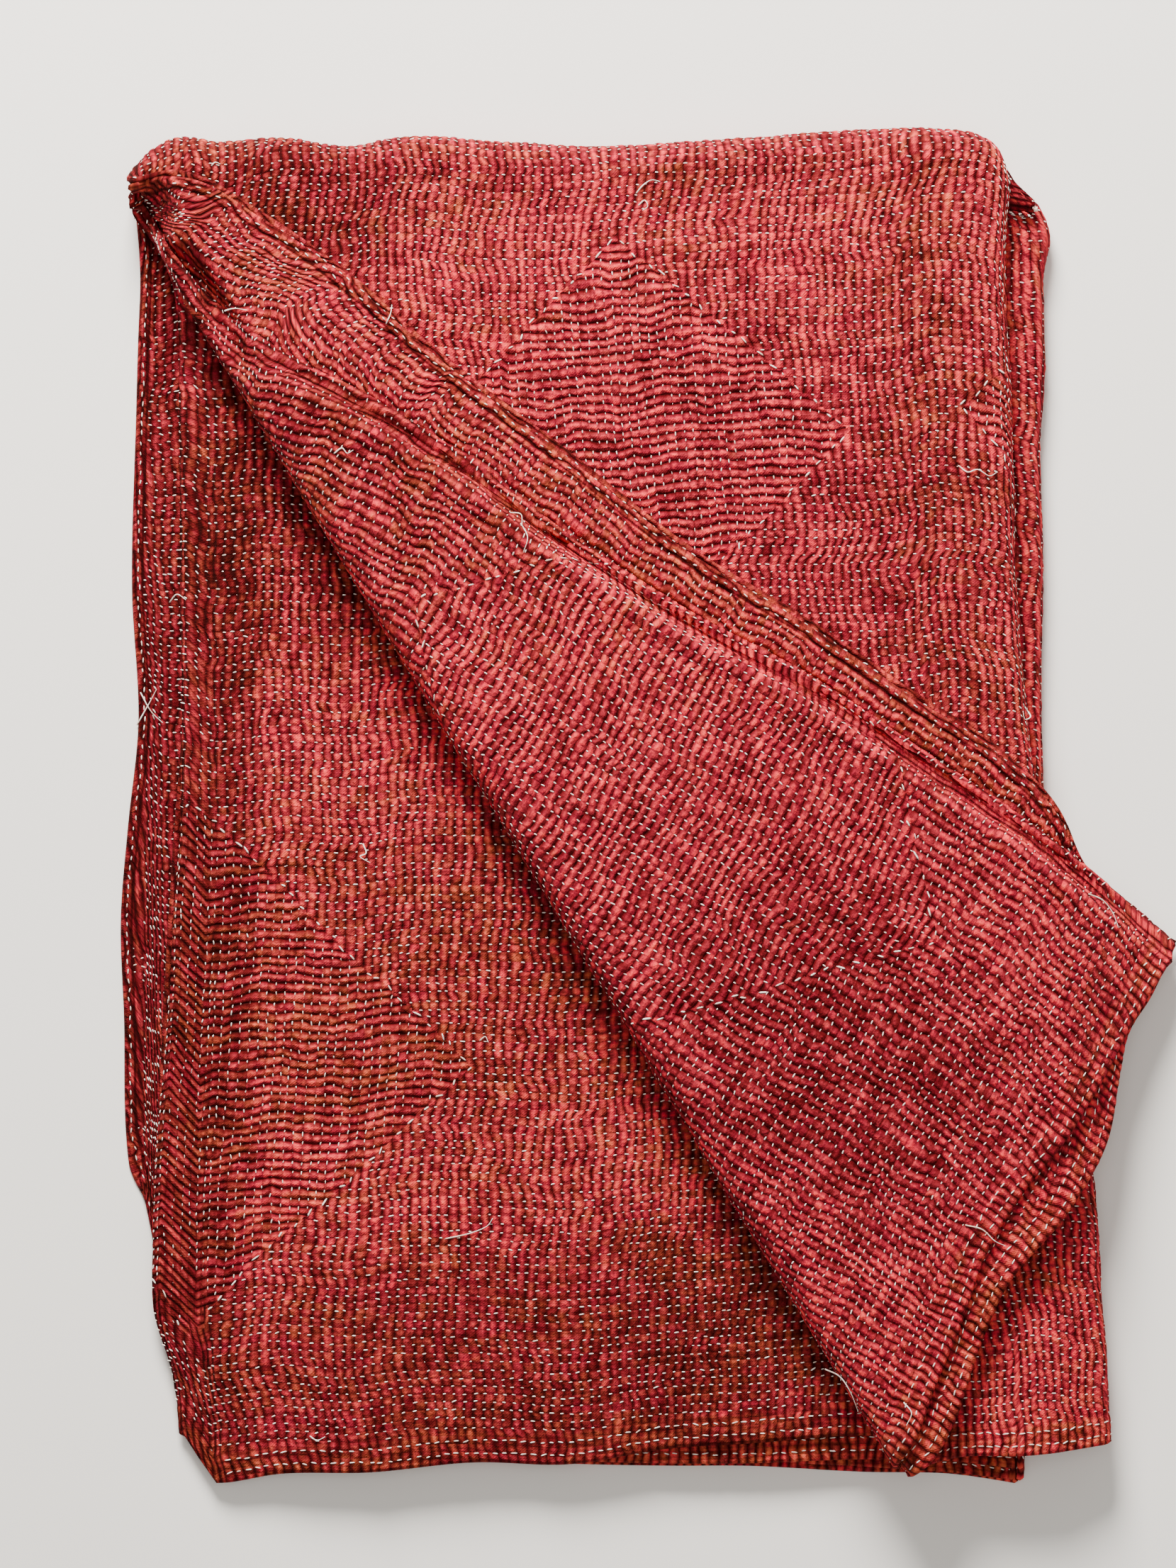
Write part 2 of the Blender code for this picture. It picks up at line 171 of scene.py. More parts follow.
# Soft hollows of the whole pile, each with the share of the height that is pressed away
HOLLOWS = (
    # x, y, half length, half width, heading in degrees, share, below 0 for a ridge
    (-208, 241, 34, 8, -61, 0.36),
    (-219, 242, 28, 5, -66, -0.08),
    (-239, 289, 15, 11, -90, 0.45),
    (-158, 290, 36, 11, -82, 0.06),
    (-103, 285, 34, 9, -90, 0.05),
    (30, 262, 60, 12, -84, 0.04),
    (-60, 205, 50, 10, -20, 0.035),
    (20, -150, 70, 14, -35, 0.04),
    (90, -60, 60, 12, -50, 0.035),
)

# Beside the turned fold: distance from it towards the hems and half width in mm, and share of the height
FOLD_TROUGHS = ((3.8, 2.8, 0.24), (7.5, 6.0, 0.08), (-4.5, 5.0, -0.05))
FOLD_SLANT = 0.84  # distance from the fold, for each millimetre up the page

PILE_CENTRE = (2.3 * MM, 0.8 * MM)  # middle of the finished footprint, moved to the origin at the end

# The folds. Each axis lies between two layers, so many pitches above the middle of the lowest one
STRIPS = 4
TURN_AXIS = 7.5
HEAD_RADIUS = 3.5 * PITCH  # of the lowest layer round the cross fold
SIDE_RADIUS = 1.5 * PITCH
INNER_RADIUS = 0.5 * PITCH
FIRST_Z = CLOTH / 2
RIGHT_REACH = SIDE_RADIUS + CLOTH / 2  # a fold's silhouette stands this far past its line
HEAD_REACH = HEAD_RADIUS + CLOTH / 2
LEFT_REACH = INNER_RADIUS + CLOTH / 2
OWN_EDGE = 0.3  # a layer keeps its own edge this far up and down, in pitches
LAYING_ROUNDS = 3  # x and y of a laid place depend on each other, and settle in three rounds


def arc(radius):
    """Length of cloth in a half turn of this radius."""
    return math.pi * radius


# Flat places of the fold lines, measured along the sheet from its first hem, which lies at SIDE_HEM
MIDDLE_LINE = SIDE_FOLD + (SIDE_FOLD - INNER_FOLD) + arc(SIDE_RADIUS)
LAST_HEM = MIDDLE_LINE + (MIDDLE_LINE - SECOND_HEM) + arc(INNER_RADIUS)
LATE_FOLD = 2 * MIDDLE_LINE + arc(INNER_RADIUS) - SIDE_FOLD
FLAT_HEAD = HEAD_FOLD + arc(HEAD_RADIUS) + (HEAD_FOLD - UPPER_FOOT)
HALF_WAY = HEAD_FOLD + arc(HEAD_RADIUS) / 2


def smooth_table(places, rows, column):
    """Values of a table's column at these places, by a smooth curve through its rows."""
    table = np.array(sorted((row[0], row[column]) for row in rows), float) * MM
    at, value = table[:, 0], table[:, 1]
    slope = np.gradient(value, at)
    places = np.clip(places, at[0], at[-1])
    index = np.clip(np.searchsorted(at, places) - 1, 0, len(at) - 2)
    span = at[index + 1] - at[index]
    t = (places - at[index]) / span
    return (
        value[index] * (1 + 2 * t) * (1 - t) ** 2
        + value[index + 1] * t * t * (3 - 2 * t)
        + slope[index] * span * t * (1 - t) ** 2
        - slope[index + 1] * span * t * t * (1 - t)
    )


def turn_axes():
    """Start, direction and outward normal of the diagonal, the normal pointing away from the turned part."""
    start = np.array(TURN_HEAD)
    along = np.array(TURN_TIP) - start
    along /= np.linalg.norm(along)
    return start, along, np.array((along[1], -along[0]))


def bend(points, moving, start, outward, axis_z):
    """Bends the moving points over a line in plan, each round the radius that its height leaves."""
    away = (points[:, :2] - start) @ outward
    radius = axis_z - points[:, 2]
    turning = moving & (away > 0)
    angle = np.where(turning, np.clip(away / radius, 0, math.pi), 0)
    past = np.where(turning, np.maximum(away - math.pi * radius, 0), 0)
    placed = np.where(turning, radius * np.sin(angle) - past, away)
    points = points.copy()
    points[:, :2] += np.outer(placed - away, outward)
    points[:, 2] = np.where(turning, axis_z - radius * np.cos(angle), points[:, 2])
    return points


def unrolled(edge, radius):
    """Where an edge of the turned part lay before the turn, for a layer that bends at this radius."""
    start, along, outward = turn_axes()
    inward = -outward
    offsets = np.array(edge, float) * MM - start
    reach = offsets @ along
    out = offsets @ inward + arc(radius)
    return start + np.outer(reach, along) - np.outer(out, inward)


def turn_radius(layer):
    """Radius of a layer of the upper half, 4 to 7, round the diagonal."""
    return (TURN_AXIS - layer) * PITCH


def upper_left(layer):
    """Left edge of a layer of the upper half before the turn, as rows of y and x in mm."""
    edge = TURNED_HEM if layer >= 6 else TURNED_FOLD
    rows = unrolled(edge, turn_radius(layer)) / MM
    if layer == 6:
        rows[:, 0] += HEM_STAGGER / MM
    if layer < 6:
        rows[:, 0] += LEFT_REACH / MM
    head = LOWER_LEFT[0][8 - layer]
    return [(LOWER_LEFT[0][0], head)] + [(y, x) for x, y in rows]


def upper_foot(layer):
    """Bottom edge of a layer of the upper half before the turn, as rows of x and y in mm."""
    edge = TURNED_FOOT_TOP if layer == 4 else TURNED_FOOT
    rows = unrolled(edge, turn_radius(layer)) / MM
    return [tuple(row) for row in rows] + list(UPPER_FOOT_EDGE)


def by_layer(level, first, edges, joined=None):
    """Blends the edges of four layers by level: each layer has its own, and the change lies between them.

    joined is the lower of two layers that share a fold at this side: there the change runs through both.
    """
    within = level - first
    lower = np.clip(np.floor(np.clip(within, 0, STRIPS - 1)), 0, STRIPS - 2).astype(int)
    share = np.clip((within - lower - OWN_EDGE) / (1 - 2 * OWN_EDGE), 0, 1)
    if joined is not None:
        in_fold = (within > joined - OWN_EDGE) & (within < joined + 1 + OWN_EDGE)
        lower = np.where(in_fold, joined, lower)
        share = np.where(in_fold, within - joined, share)
    stacked = np.array(edges)
    index = np.arange(stacked.shape[1])
    return stacked[lower, index] * (1 - share) + stacked[lower + 1, index] * share


def side_edges(y, level, upper):
    """x of the left edge and of the right fold line, for each point."""
    low = by_layer(level, 0, [smooth_table(y, LOWER_LEFT, k) for k in (1, 2, 3, 4)], 2)
    high = by_layer(level, 4, [smooth_table(y, upper_left(k), 1) for k in (4, 5, 6, 7)], 0)
    right_low = smooth_table(y, RIGHT_EDGE, 1)
    right_high = smooth_table(y, RIGHT_EDGE, 2)
    return np.where(upper, high, low), np.where(upper, right_high, right_low) - RIGHT_REACH


def end_edges(x, level, upper):
    """y of the bottom edge and of the cross fold line, for each point."""
    low = by_layer(level, 0, [smooth_table(x, LOWER_FOOT, k) for k in (1, 2, 3, 4)])
    high = by_layer(level, 4, [smooth_table(x, upper_foot(k), 1) for k in (4, 5, 6, 7)])
    return np.where(upper, high, low), smooth_table(x, HEAD_EDGE, 1) - HEAD_REACH


def lay_out(points, upper):
    """Moves the points of the straight pile in plan, to the uneven edges of the real one."""
    level = (points[:, 2] - FIRST_Z) / PITCH
    past_head = np.maximum(points[:, 1] - HEAD_FOLD, 0) / PITCH
    axis = HEAD_RADIUS / PITCH
    ring = axis - np.hypot(past_head, level - axis)  # which layer this is, also round the cross fold
    level = np.where(upper, 2 * axis - ring, ring)
    lines = [np.full(len(points), x) for x in (SIDE_HEM, SECOND_HEM, INNER_FOLD, INNER_FOLD)]
    hem = by_layer(level, 0, lines)
    hem_high = by_layer(level, 4, lines[::-1])
    straight_left = np.where(upper, hem_high, hem)
    layer_arc = arc(PITCH) * np.clip(level - axis, axis - STRIPS + 1, axis)
    foot_high = HEAD_FOLD - (FLAT_HEAD - HEAD_FOLD - layer_arc)
    straight_foot = np.where(upper, foot_high, FOOT_HEM)
    across = (points[:, 0] - straight_left) / (SIDE_FOLD - straight_left)
    up = (points[:, 1] - straight_foot) / (HEAD_FOLD - straight_foot)
    y = points[:, 1].copy()
    for _ in range(LAYING_ROUNDS):
        left, right = side_edges(y, level, upper)
        x = left + across * (right - left)
        foot, head = end_edges(x, level, upper)
        y = foot + up * (head - foot)
    laid = points.copy()
    laid[:, 0] = np.where(points[:, 0] > SIDE_FOLD, right + points[:, 0] - SIDE_FOLD, x)
    laid[:, 1] = np.where(points[:, 1] > HEAD_FOLD, head + points[:, 1] - HEAD_FOLD, y)
    return laid


def fold_pile(flat):
    """The pile of eight layers before the turn, and which points are in its upper half."""
    points = np.column_stack([flat, np.full(len(flat), FIRST_Z)])
    everything = np.ones(len(flat), bool)
    across = np.array((1.0, 0.0))
    up = np.array((0.0, 1.0))
    points = bend(points, everything, (MIDDLE_LINE, 0), across, FIRST_Z + INNER_RADIUS)
    points = bend(points, everything, (SIDE_FOLD, 0), across, FIRST_Z + SIDE_RADIUS)
    points = bend(points, everything, (0, HEAD_FOLD), up, FIRST_Z + HEAD_RADIUS)
    upper = flat[:, 1] > HALF_WAY
    return lay_out(points, upper), upper


def turn_back(points, upper):
    start, _, outward = turn_axes()
    return bend(points, upper, start, outward, FIRST_Z + TURN_AXIS * PITCH)


def sag(points, level):
    """Lets the cloth down where nothing carries it."""
    drop = np.zeros(len(points))
    for x, y, heading, slope, lowest in SAGS:
        way = np.array((math.cos(math.radians(heading)), math.sin(math.radians(heading))))
        past = (points[:, :2] - np.array((x, y)) * MM) @ way
        drop += np.where(level > lowest, slope * np.maximum(past, 0), 0)
    points = points.copy()
    points[:, 2] -= drop
    return points


STRIP_SPANS = (
    (SIDE_HEM, SIDE_FOLD + arc(SIDE_RADIUS) / 2),
    (SIDE_FOLD + arc(SIDE_RADIUS) / 2, MIDDLE_LINE + arc(INNER_RADIUS) / 2),
    (MIDDLE_LINE + arc(INNER_RADIUS) / 2, LATE_FOLD - arc(INNER_RADIUS) / 2),
    (LATE_FOLD - arc(INNER_RADIUS) / 2, LAST_HEM),
)


def beside_fold(points):
    """Presses the cloth down along the outer side of the turned fold, which stands up in a soft ridge."""
    line = np.array(TURNED_FOLD, float) * MM
    off = (points[:, 1] - np.interp(points[:, 0], line[:, 0], line[:, 1])) * FOLD_SLANT
    middle, half = (line[0, 0] + line[-1, 0]) / 2, (line[-1, 0] - line[0, 0]) / 2
    share = 0
    for where, wide, deep in FOLD_TROUGHS:
        share = share + deep * np.exp(-(((off - where * MM) / (wide * MM)) ** 2))
    return share * np.exp(-(((points[:, 0] - middle) / half) ** 10))


def pressed(points):
    """Presses the whole pile into its soft hollows, and lifts it where it stands up in a ridge."""
    share = beside_fold(points)
    for x, y, long, wide, heading, deep in HOLLOWS:
        way = np.array((math.cos(math.radians(heading)), math.sin(math.radians(heading))))
        off = points[:, :2] - np.array((x, y)) * MM
        along = off @ way / (long * MM)
        beside = off @ np.array((-way[1], way[0])) / (wide * MM)
        share += deep * np.exp(-((along**2 + beside**2) ** 2))
    points = points.copy()
    points[:, 2] *= 1 - share
    return points


def place(flat):
    """Finished place of each point of the sheet, in the middle of the cloth."""
    points = turn_back(*fold_pile(flat))
    points = pressed(sag(points, (points[:, 2] - FIRST_Z) / PITCH))
    points[:, :2] -= PILE_CENTRE
    return points


# The finish
CELLS_ACROSS = 1280  # finest cells of the cloth from hem to hem, 1.3 mm each
CELLS_UP = 992
BLOCK = 4  # cells along a block, the unit in which the cloth is made finer
LEAF = 4  # blocks along the largest face, used where the cloth is flat and hidden
BENT = 0.7 * MM  # a hidden block is made finer where its middle stands this far off its corners
PARTS_ACROSS = (0 * MM, 228 * MM)  # the meshes of the cloth meet on these lines and at the head
RIM_ROUND = 0.4 * CLOTH
SIDE_HEM_WIDE = 4.4 * MM
END_HEM_WIDE = 14 * MM
HEM_HIGH = 0.5 * MM  # a hem is the cloth turned in on itself
HEM_GROOVE = 0.9 * MM

# The view: the photograph's frame, at the height in the pile at which its scale is true
FRAME_CENTRE = (-29.9 * MM, 11.1 * MM)
FRAME_HIGH = 763.1 * MM
FRAME_LEVEL = 20 * MM
CAMERA_HIGH = 3.0

# The running stitch
STITCH_PITCH = 4.5 * MM
ROW_PITCH = 4.0 * MM
STITCH_LONG = 2.15 * MM
THREAD_WIDE = 0.72 * MM
THREAD_THICK = 0.5 * MM
EDGE_PITCH = 8.0 * MM  # of the longer stitches along the edges of a diamond
EDGE_CLEAR = 1.7 * MM  # no other stitch lies this near to them
SIDE_HEM_ROW = 2.3 * MM  # from the edge of the cloth to the row in a side hem
SIDE_HEM_PITCH = 5.8 * MM
END_HEM_ROWS = (4.0 * MM, 10.2 * MM)
END_HEM_PITCH = 4.8 * MM
RIDGE_HIGH = 0.47 * MM  # of the ridges between stitches
ROW_HIGH = 0.15 * MM
WAVE_HIGH = 0.8 * MM  # slow swelling of the whole cloth
THREAD_WHITE = "FFF8F0"
# Madder dye and its tan, from the bottom of a crease to the worn top of a puff. The dark end is painted
# shade, which the creases between the puffs take; the paler worn tops and the dyes are the cloth's own.
CRIMSON_WITH_CREASE_SHADE = (
    (0.2, "300104"), (0.36, "52080E"), (0.48, "6C161E"),
    (0.6, "8C222E"), (0.74, "D32F3B"), (0.92, "F8524A"),
)
TAN_WITH_CREASE_SHADE = (
    (0.2, "260402"), (0.36, "440F0A"), (0.48, "602216"),
    (0.6, "80361F"), (0.74, "AC4E32"), (0.92, "D47246"),
)

# Where the rows turn from across to up: each diamond's middle and half sizes on the flat sheet
DIAMONDS = (
    # across, up, half width, half height, in mm
    (-2, 478, 104, 97),
    (260, 476, 104, 97),
    (599, -128, 129, 129),
    (533, 713, 150, 150),
)


ACROSS_SEED = 11
UP_SEED = 23
SPARE = 40 * MM  # the rows are laid out this far past the sheet, because its cloth runs long
SLACK_CELLS = 2  # cells from one point to the next where the cloth's length is measured
MARKS = ("sewn_place", "rows_across", "rows_up", "tone_and_painted_shade")

# Tones of the old pieces of cloth, as soft patches on the flat sheet in mm, and how far each is dark, brown
# and washed flat. The dark column is partly painted shade: it follows how dark each region looks, shade
# included.
TONE_AND_SHADE_PATCHES = (
    # u, v, half size along u, along v, dark, brown, flat
    # Painted shade in large part: the first row darkens the upper left by the mouth of the fold, which lies
    # in shade, and the second the strip over the head fold, where the lamp lights it most
    (-165, 385, 55, 50, 0.17, 0.04, -0.3),
    (0, 335, 250, 34, 0.09, 0.02, -0.1),
    (150, 505, 34, 150, 0.06, 0.06, 0.0),
    (40, 520, 120, 110, 0.03, -0.08, 0.0),
    (60, 620, 150, 200, 0.03, 0.0, 0.0),
    (606, 410, 75, 95, 0.15, 0.02, -0.2),
    (590, 545, 50, 70, 0.06, 0.03, 0.0),
    (456, 797, 150, 190, 0.05, -0.1, 0.4),
    (475, 863, 70, 90, 0.09, 0.0, 0.2),
    (1400, 640, 60, 300, -0.05, 0.0, 0.0),
    (-240, 0, 40, 320, 0.11, -0.05, 0.2),
    (1415, -20, 42, 330, 0.12, -0.02, 0.2),
    (600, -20, 18, 330, 0.15, 0.03, 0.2),
    (560, 130, 52, 75, 0.13, 0.06, 0.0),
    (500, -90, 110, 85, 0.07, 0.05, 0.0),
    (450, -285, 160, 80, 0.13, 0.02, 0.6),
    (340, -250, 60, 90, 0.05, 0.04, 0.3),
)
HEM_WORN = (70 * MM, 0.08, 0.045)  # how far in from a side hem the cloth is darker and browner


def tone_and_painted_shade(u, v):
    """How dark and how brown the cloth is, and how flat its quilting is washed. The darkness is partly dye
    and partly painted shade.
    """
    in_from_hem = np.minimum(u - SIDE_HEM, LAST_HEM - u)
    worn = np.exp(-((in_from_hem / HEM_WORN[0]) ** 2))
    dark, brown, flat = HEM_WORN[1] * worn, HEM_WORN[2] * worn, 0 * worn
    for at_u, at_v, half_u, half_v, darker, browner, flatter in TONE_AND_SHADE_PATCHES:
        off = ((u / MM - at_u) / half_u) ** 2 + ((v / MM - at_v) / half_v) ** 2
        share = np.exp(-(off**2))
        dark, brown, flat = dark + darker * share, brown + browner * share, flat + flatter * share
    return dark, brown, flat


def soft_noise(u, v, size_u, size_v, seed):
    """Smooth noise from -1 to 1, with swellings of about this size."""
    grid = np.random.RandomState(seed).uniform(-1, 1, (97, 101))
    a = u / size_u + 37
    b = v / size_v + 41
    i = np.floor(a).astype(int)
    j = np.floor(b).astype(int)
    s = a - i
    t = b - j
    s = s * s * (3 - 2 * s)
    t = t * t * (3 - 2 * t)
    near = grid[i % 97, j % 101] * (1 - s) + grid[(i + 1) % 97, j % 101] * s
    far = grid[i % 97, (j + 1) % 101] * (1 - s) + grid[(i + 1) % 97, (j + 1) % 101] * s
    return near * (1 - t) + far * t


def in_diamond(u, v):
    inside = np.zeros(len(u), bool)
    for across, up, wide, high in DIAMONDS:
        away = np.abs(u - across * MM) / (wide * MM) + np.abs(v - up * MM) / (high * MM)
        inside |= away < 1
    return inside


def cell_places(i, j):
    """Flat place of each corner of the grid of cells."""
    u = SIDE_HEM + (LAST_HEM - SIDE_HEM) * i / CELLS_ACROSS
    v = FOOT_HEM + (FLAT_HEAD - FOOT_HEM) * j / CELLS_UP
    return u, v


def anchored(slack, at, middles):
    """Takes the slack off at each strip's middle and evenly between them, so that it stays small."""
    index = [int(np.argmin(np.abs(at - middle))) for middle in middles]
    share = np.stack([np.interp(at, middles, np.eye(len(middles))[k]) for k in range(len(middles))], -1)
    return slack - share @ slack[index]


def cloth_slack():
    """How much longer the cloth of the pile is than the flat sheet up to each point, across and up.

    The laid edges of the pile pull some stretches of the sheet long. The stitching follows the true length.
    """
    i, j = np.meshgrid(
        np.arange(0, CELLS_ACROSS + 1, SLACK_CELLS), np.arange(0, CELLS_UP + 1, SLACK_CELLS), indexing="ij"
    )
    u, v = cell_places(i, j)
    middle = place(np.column_stack([u.ravel(), v.ravel()])).reshape(*u.shape, 3)
    strips = [(left + right) / 2 for left, right in STRIP_SPANS]
    halves = [(FOOT_HEM + HALF_WAY) / 2, (HALF_WAY + FLAT_HEAD) / 2]
    found = []
    for axis, at, middles in ((0, u, strips), (1, v, halves)):
        lengths = np.linalg.norm(np.diff(middle, axis=axis), axis=-1) - np.diff(at, axis=axis)
        start = np.zeros_like(lengths.take([0], axis=axis))
        slack = np.concatenate([start, np.cumsum(lengths, axis=axis)], axis=axis)
        if axis == 0:
            found.append(anchored(slack, at[:, 0], middles))
        else:
            found.append(anchored(slack.T, at[0], middles).T)
    return found


def slack_at(u, v):
    """Slack of the cloth across and up at these flat places."""
    a = (u - SIDE_HEM) / (LAST_HEM - SIDE_HEM) * (SLACK[0].shape[0] - 1)
    b = (v - FOOT_HEM) / (FLAT_HEAD - FOOT_HEM) * (SLACK[0].shape[1] - 1)
    i = np.clip(np.floor(a).astype(int), 0, SLACK[0].shape[0] - 2)
    j = np.clip(np.floor(b).astype(int), 0, SLACK[0].shape[1] - 2)
    s = np.clip(a - i, 0, 1)
    t = np.clip(b - j, 0, 1)
    return [
        grid[i, j] * (1 - s) * (1 - t) + grid[i + 1, j] * s * (1 - t)
        + grid[i, j + 1] * (1 - s) * t + grid[i + 1, j + 1] * s * t
        for grid in SLACK
    ]


def sewn_place(u, v):
    """Where a point of the flat sheet lies as measured along the cloth."""
    across, up = slack_at(u, v)
    return u + across, v + up


def unsewn_place(along, over):
    """The flat place of a point measured along the cloth."""
    u, v = along.copy(), over.copy()
    for _ in range(30):
        across, up = slack_at(u, v)
        u -= (u + across - along) * 0.25
        v -= (v + up - over) * 0.25
    return u, v


def ridge_phase(along, over, seed):
    """How many stitches in from the sheet's edge this is, counted along the row."""
    wander = 0.42 * soft_noise(along, over, 21 * MM, 13 * MM, seed)
    return along / STITCH_PITCH + wander + 0.2 * soft_noise(along, over, 8 * MM, 4.6 * MM, seed + 1)


def row_phase(along, over, seed):
    """How many rows up this is."""
    return over / ROW_PITCH + 0.22 * soft_noise(along, over, 30 * MM, 9 * MM, seed + 2)


def in_hem(u, v):
    """How far into a side hem and an end hem: 1 at the edge of the cloth, 0 where the hem ends."""
    side = 1 - np.minimum(u - SIDE_HEM, LAST_HEM - u) / SIDE_HEM_WIDE
    end = 1 - np.minimum(v - FOOT_HEM, FLAT_HEAD - v) / END_HEM_WIDE
    return np.clip(side, -1, 1), np.clip(end, -1, 1)


def sewing(u, v):
    """Phases of the rows sewn across and of those sewn up, and which of the two is sewn here."""
    along, over = sewn_place(u, v)
    across = ridge_phase(along, over, ACROSS_SEED), row_phase(along, over, ACROSS_SEED)
    up = ridge_phase(over, along, UP_SEED), row_phase(over, along, UP_SEED)
    return across, up, in_diamond(along, over), along, over


PUFFS = np.random.RandomState(41).uniform(0.55, 1.3, (251, 241))


def puffed(ridge, row):
    """Height of the quilted cloth from its phases. Each puff between the stitches has its own fullness."""
    over_ridge = np.abs(np.sin(math.pi * ridge)) ** 0.8
    over_row = np.abs(np.sin(math.pi * row)) ** 0.8
    own = PUFFS[np.floor(ridge).astype(int) % 251, np.floor(row).astype(int) % 241]
    own = 1 + (own - 1) * over_row
    return RIDGE_HIGH * (1.6 * own * over_ridge - 1) + ROW_HIGH * (1.6 * over_row - 1)


def relief(u, v):
    """Height of the quilted face over the plain cloth."""
    across, up, turned, along, over = sewing(u, v)
    height = np.where(turned, puffed(*up), puffed(*across))
    height *= 0.9 + 0.35 * soft_noise(along, over, 8 * MM, 7 * MM, 3)
    height *= 1 - 0.5 * tone_and_painted_shade(u, v)[2]
    side, end = in_hem(u, v)
    hemmed = np.clip(side / 0.15, 0, 1)
    height = height * (1 - 0.9 * hemmed) + HEM_HIGH * hemmed
    height = height + 0.6 * HEM_HIGH * np.clip(end / 0.08, 0, 1) * (1 - hemmed)
    side_groove = HEM_GROOVE * np.exp(-((side / 0.14) ** 2))
    end_groove = 0.6 * HEM_GROOVE * np.exp(-((end / 0.05) ** 2))
    return height - side_groove - end_groove


def swelling(u, v):
    """Slow waves of the cloth, the same on both faces."""
    return WAVE_HIGH * (
        0.6 * soft_noise(u, v, 38 * MM, 31 * MM, 5) + 0.4 * soft_noise(u, v, 15 * MM, 17 * MM, 6)
    )


def unit(vectors):
    return vectors / (np.linalg.norm(vectors, axis=1, keepdims=True) + 1e-12)


def middle_and_outward(u, v):
    """Place of the middle of the cloth, its two directions, and the way out of its upper face."""
    step = 0.7 * MM

    def at(du, dv):
        return place(np.column_stack([u + du, v + dv]))

    across = at(step, 0) - at(-step, 0)
    up = at(0, step) - at(0, -step)
    return at(0, 0), across, up, unit(np.cross(across, up))


def on_pile(u, v, side, height=0.0):
    """Place in the pile of a point of a face, this high over the plain cloth. side: 1 upper, -1 under."""
    middle, _, _, outward = middle_and_outward(u, v)
    points = middle + outward * (side * (CLOTH / 2 + height))[:, None]
    points[:, 2] = np.maximum(points[:, 2], 0)
    return points


def sight(rows):
    """Directions to look from: for each row the level part, the part up, and how many turns."""
    return [
        Vector((math.cos(turn) * flat, math.sin(turn) * flat, up)).normalized()
        for flat, up, turns in rows
        for turn in (2 * math.pi * k / turns for k in range(turns))
    ]


FROM_ABOVE = sight(((0, 1, 1), (1, 1, 6)))
FROM_BESIDE = sight(((1, 0.25, 8),))


def block_grid():
    """Corners of the blocks on both faces, and a tree of their faces that finds what covers what."""
    blocks_across = CELLS_ACROSS // BLOCK
    blocks_up = CELLS_UP // BLOCK
    i, j = np.meshgrid(np.arange(blocks_across + 1), np.arange(blocks_up + 1), indexing="ij")
    u, v = cell_places(i.ravel() * BLOCK, j.ravel() * BLOCK)
    corners = {}
    for side in (1, -1):
        corners[side] = on_pile(u, v, np.full(len(u), side)).reshape(*i.shape, 3)
    index = np.arange(i.size).reshape(i.shape)
    quads = np.stack([index[:-1, :-1], index[1:, :-1], index[1:, 1:], index[:-1, 1:]], -1).reshape(-1, 4)
    points = np.concatenate([corners[1].reshape(-1, 3), corners[-1].reshape(-1, 3)])
    faces = np.concatenate([quads, quads + i.size])
    tree = BVHTree.FromPolygons(points.tolist(), faces.tolist())
    return corners, tree


def block_middles(corners, side):
    """Middle and outward normal of each block."""
    a, b = corners[:-1, :-1], corners[1:, :-1]
    c, d = corners[1:, 1:], corners[:-1, 1:]
    normal = np.cross(c - a, d - b) * side
    normal /= np.linalg.norm(normal, axis=-1, keepdims=True) + 1e-12
    return (a + b + c + d) / 4, normal


def seen_blocks(corners, tree, side):
    """How each block of a face is seen: 2 from above, 1 only from beside, 0 not at all."""
    middles, normals = block_middles(corners, side)
    seen = np.zeros(middles.shape[:2], int)
    for place_in_grid in np.ndindex(seen.shape):
        normal = Vector(normals[place_in_grid])
        start = Vector(middles[place_in_grid]) + normal * (0.4 * MM)
        for value, ways in ((2, FROM_ABOVE), (1, FROM_BESIDE)):
            if any(way.dot(normal) > 0.15 and tree.ray_cast(start, way, 1.0)[0] is None for way in ways):
                seen[place_in_grid] = value
                break
    return seen


def widened(mask, steps=1):
    for _ in range(steps):
        grown = mask.copy()
        grown[1:] |= mask[:-1]
        grown[:-1] |= mask[1:]
        grown[:, 1:] |= mask[:, :-1]
        grown[:, :-1] |= mask[:, 1:]
        mask = grown
    return mask


def bent_blocks(corners, side, shape):
    """How far the true middle of each block stands off the middle of its corners."""
    i, j = np.meshgrid(np.arange(shape[0]), np.arange(shape[1]), indexing="ij")
    u, v = cell_places((i.ravel() + 0.5) * BLOCK, (j.ravel() + 0.5) * BLOCK)
    true = on_pile(u, v, np.full(len(u), side)).reshape(*shape, 3)
    flat = (corners[:-1, :-1] + corners[1:, :-1] + corners[1:, 1:] + corners[:-1, 1:]) / 4
    return np.linalg.norm(true - flat, axis=-1)


def leaf_faces(seen, corners, side):
    """Faces of one side of the sheet as (first cell across, up, cells along), from fine to coarse."""
    off = bent_blocks(corners, side, seen.shape)
    size = np.where((off > BENT) | (seen > 0), 2, BLOCK)
    size = np.where(seen == 2, 1, size)
    leaves = {}
    blocks_across, blocks_up = seen.shape
    whole = size.reshape(blocks_across // LEAF, LEAF, blocks_up // LEAF, LEAF)
    bend = off.reshape(whole.shape)
    large = (whole == BLOCK).all(axis=(1, 3)) & (bend.max(axis=(1, 3)) < BENT / 2)
    leaves[LEAF * BLOCK] = np.argwhere(large) * LEAF * BLOCK
    covered = np.repeat(np.repeat(large, LEAF, 0), LEAF, 1)
    for cells in (BLOCK, 2, 1):
        blocks = np.argwhere((size == cells) & ~covered) * BLOCK
        parts = [blocks + (a, b) for a in range(0, BLOCK, cells) for b in range(0, BLOCK, cells)]
        leaves[cells] = np.concatenate(parts)
    return leaves


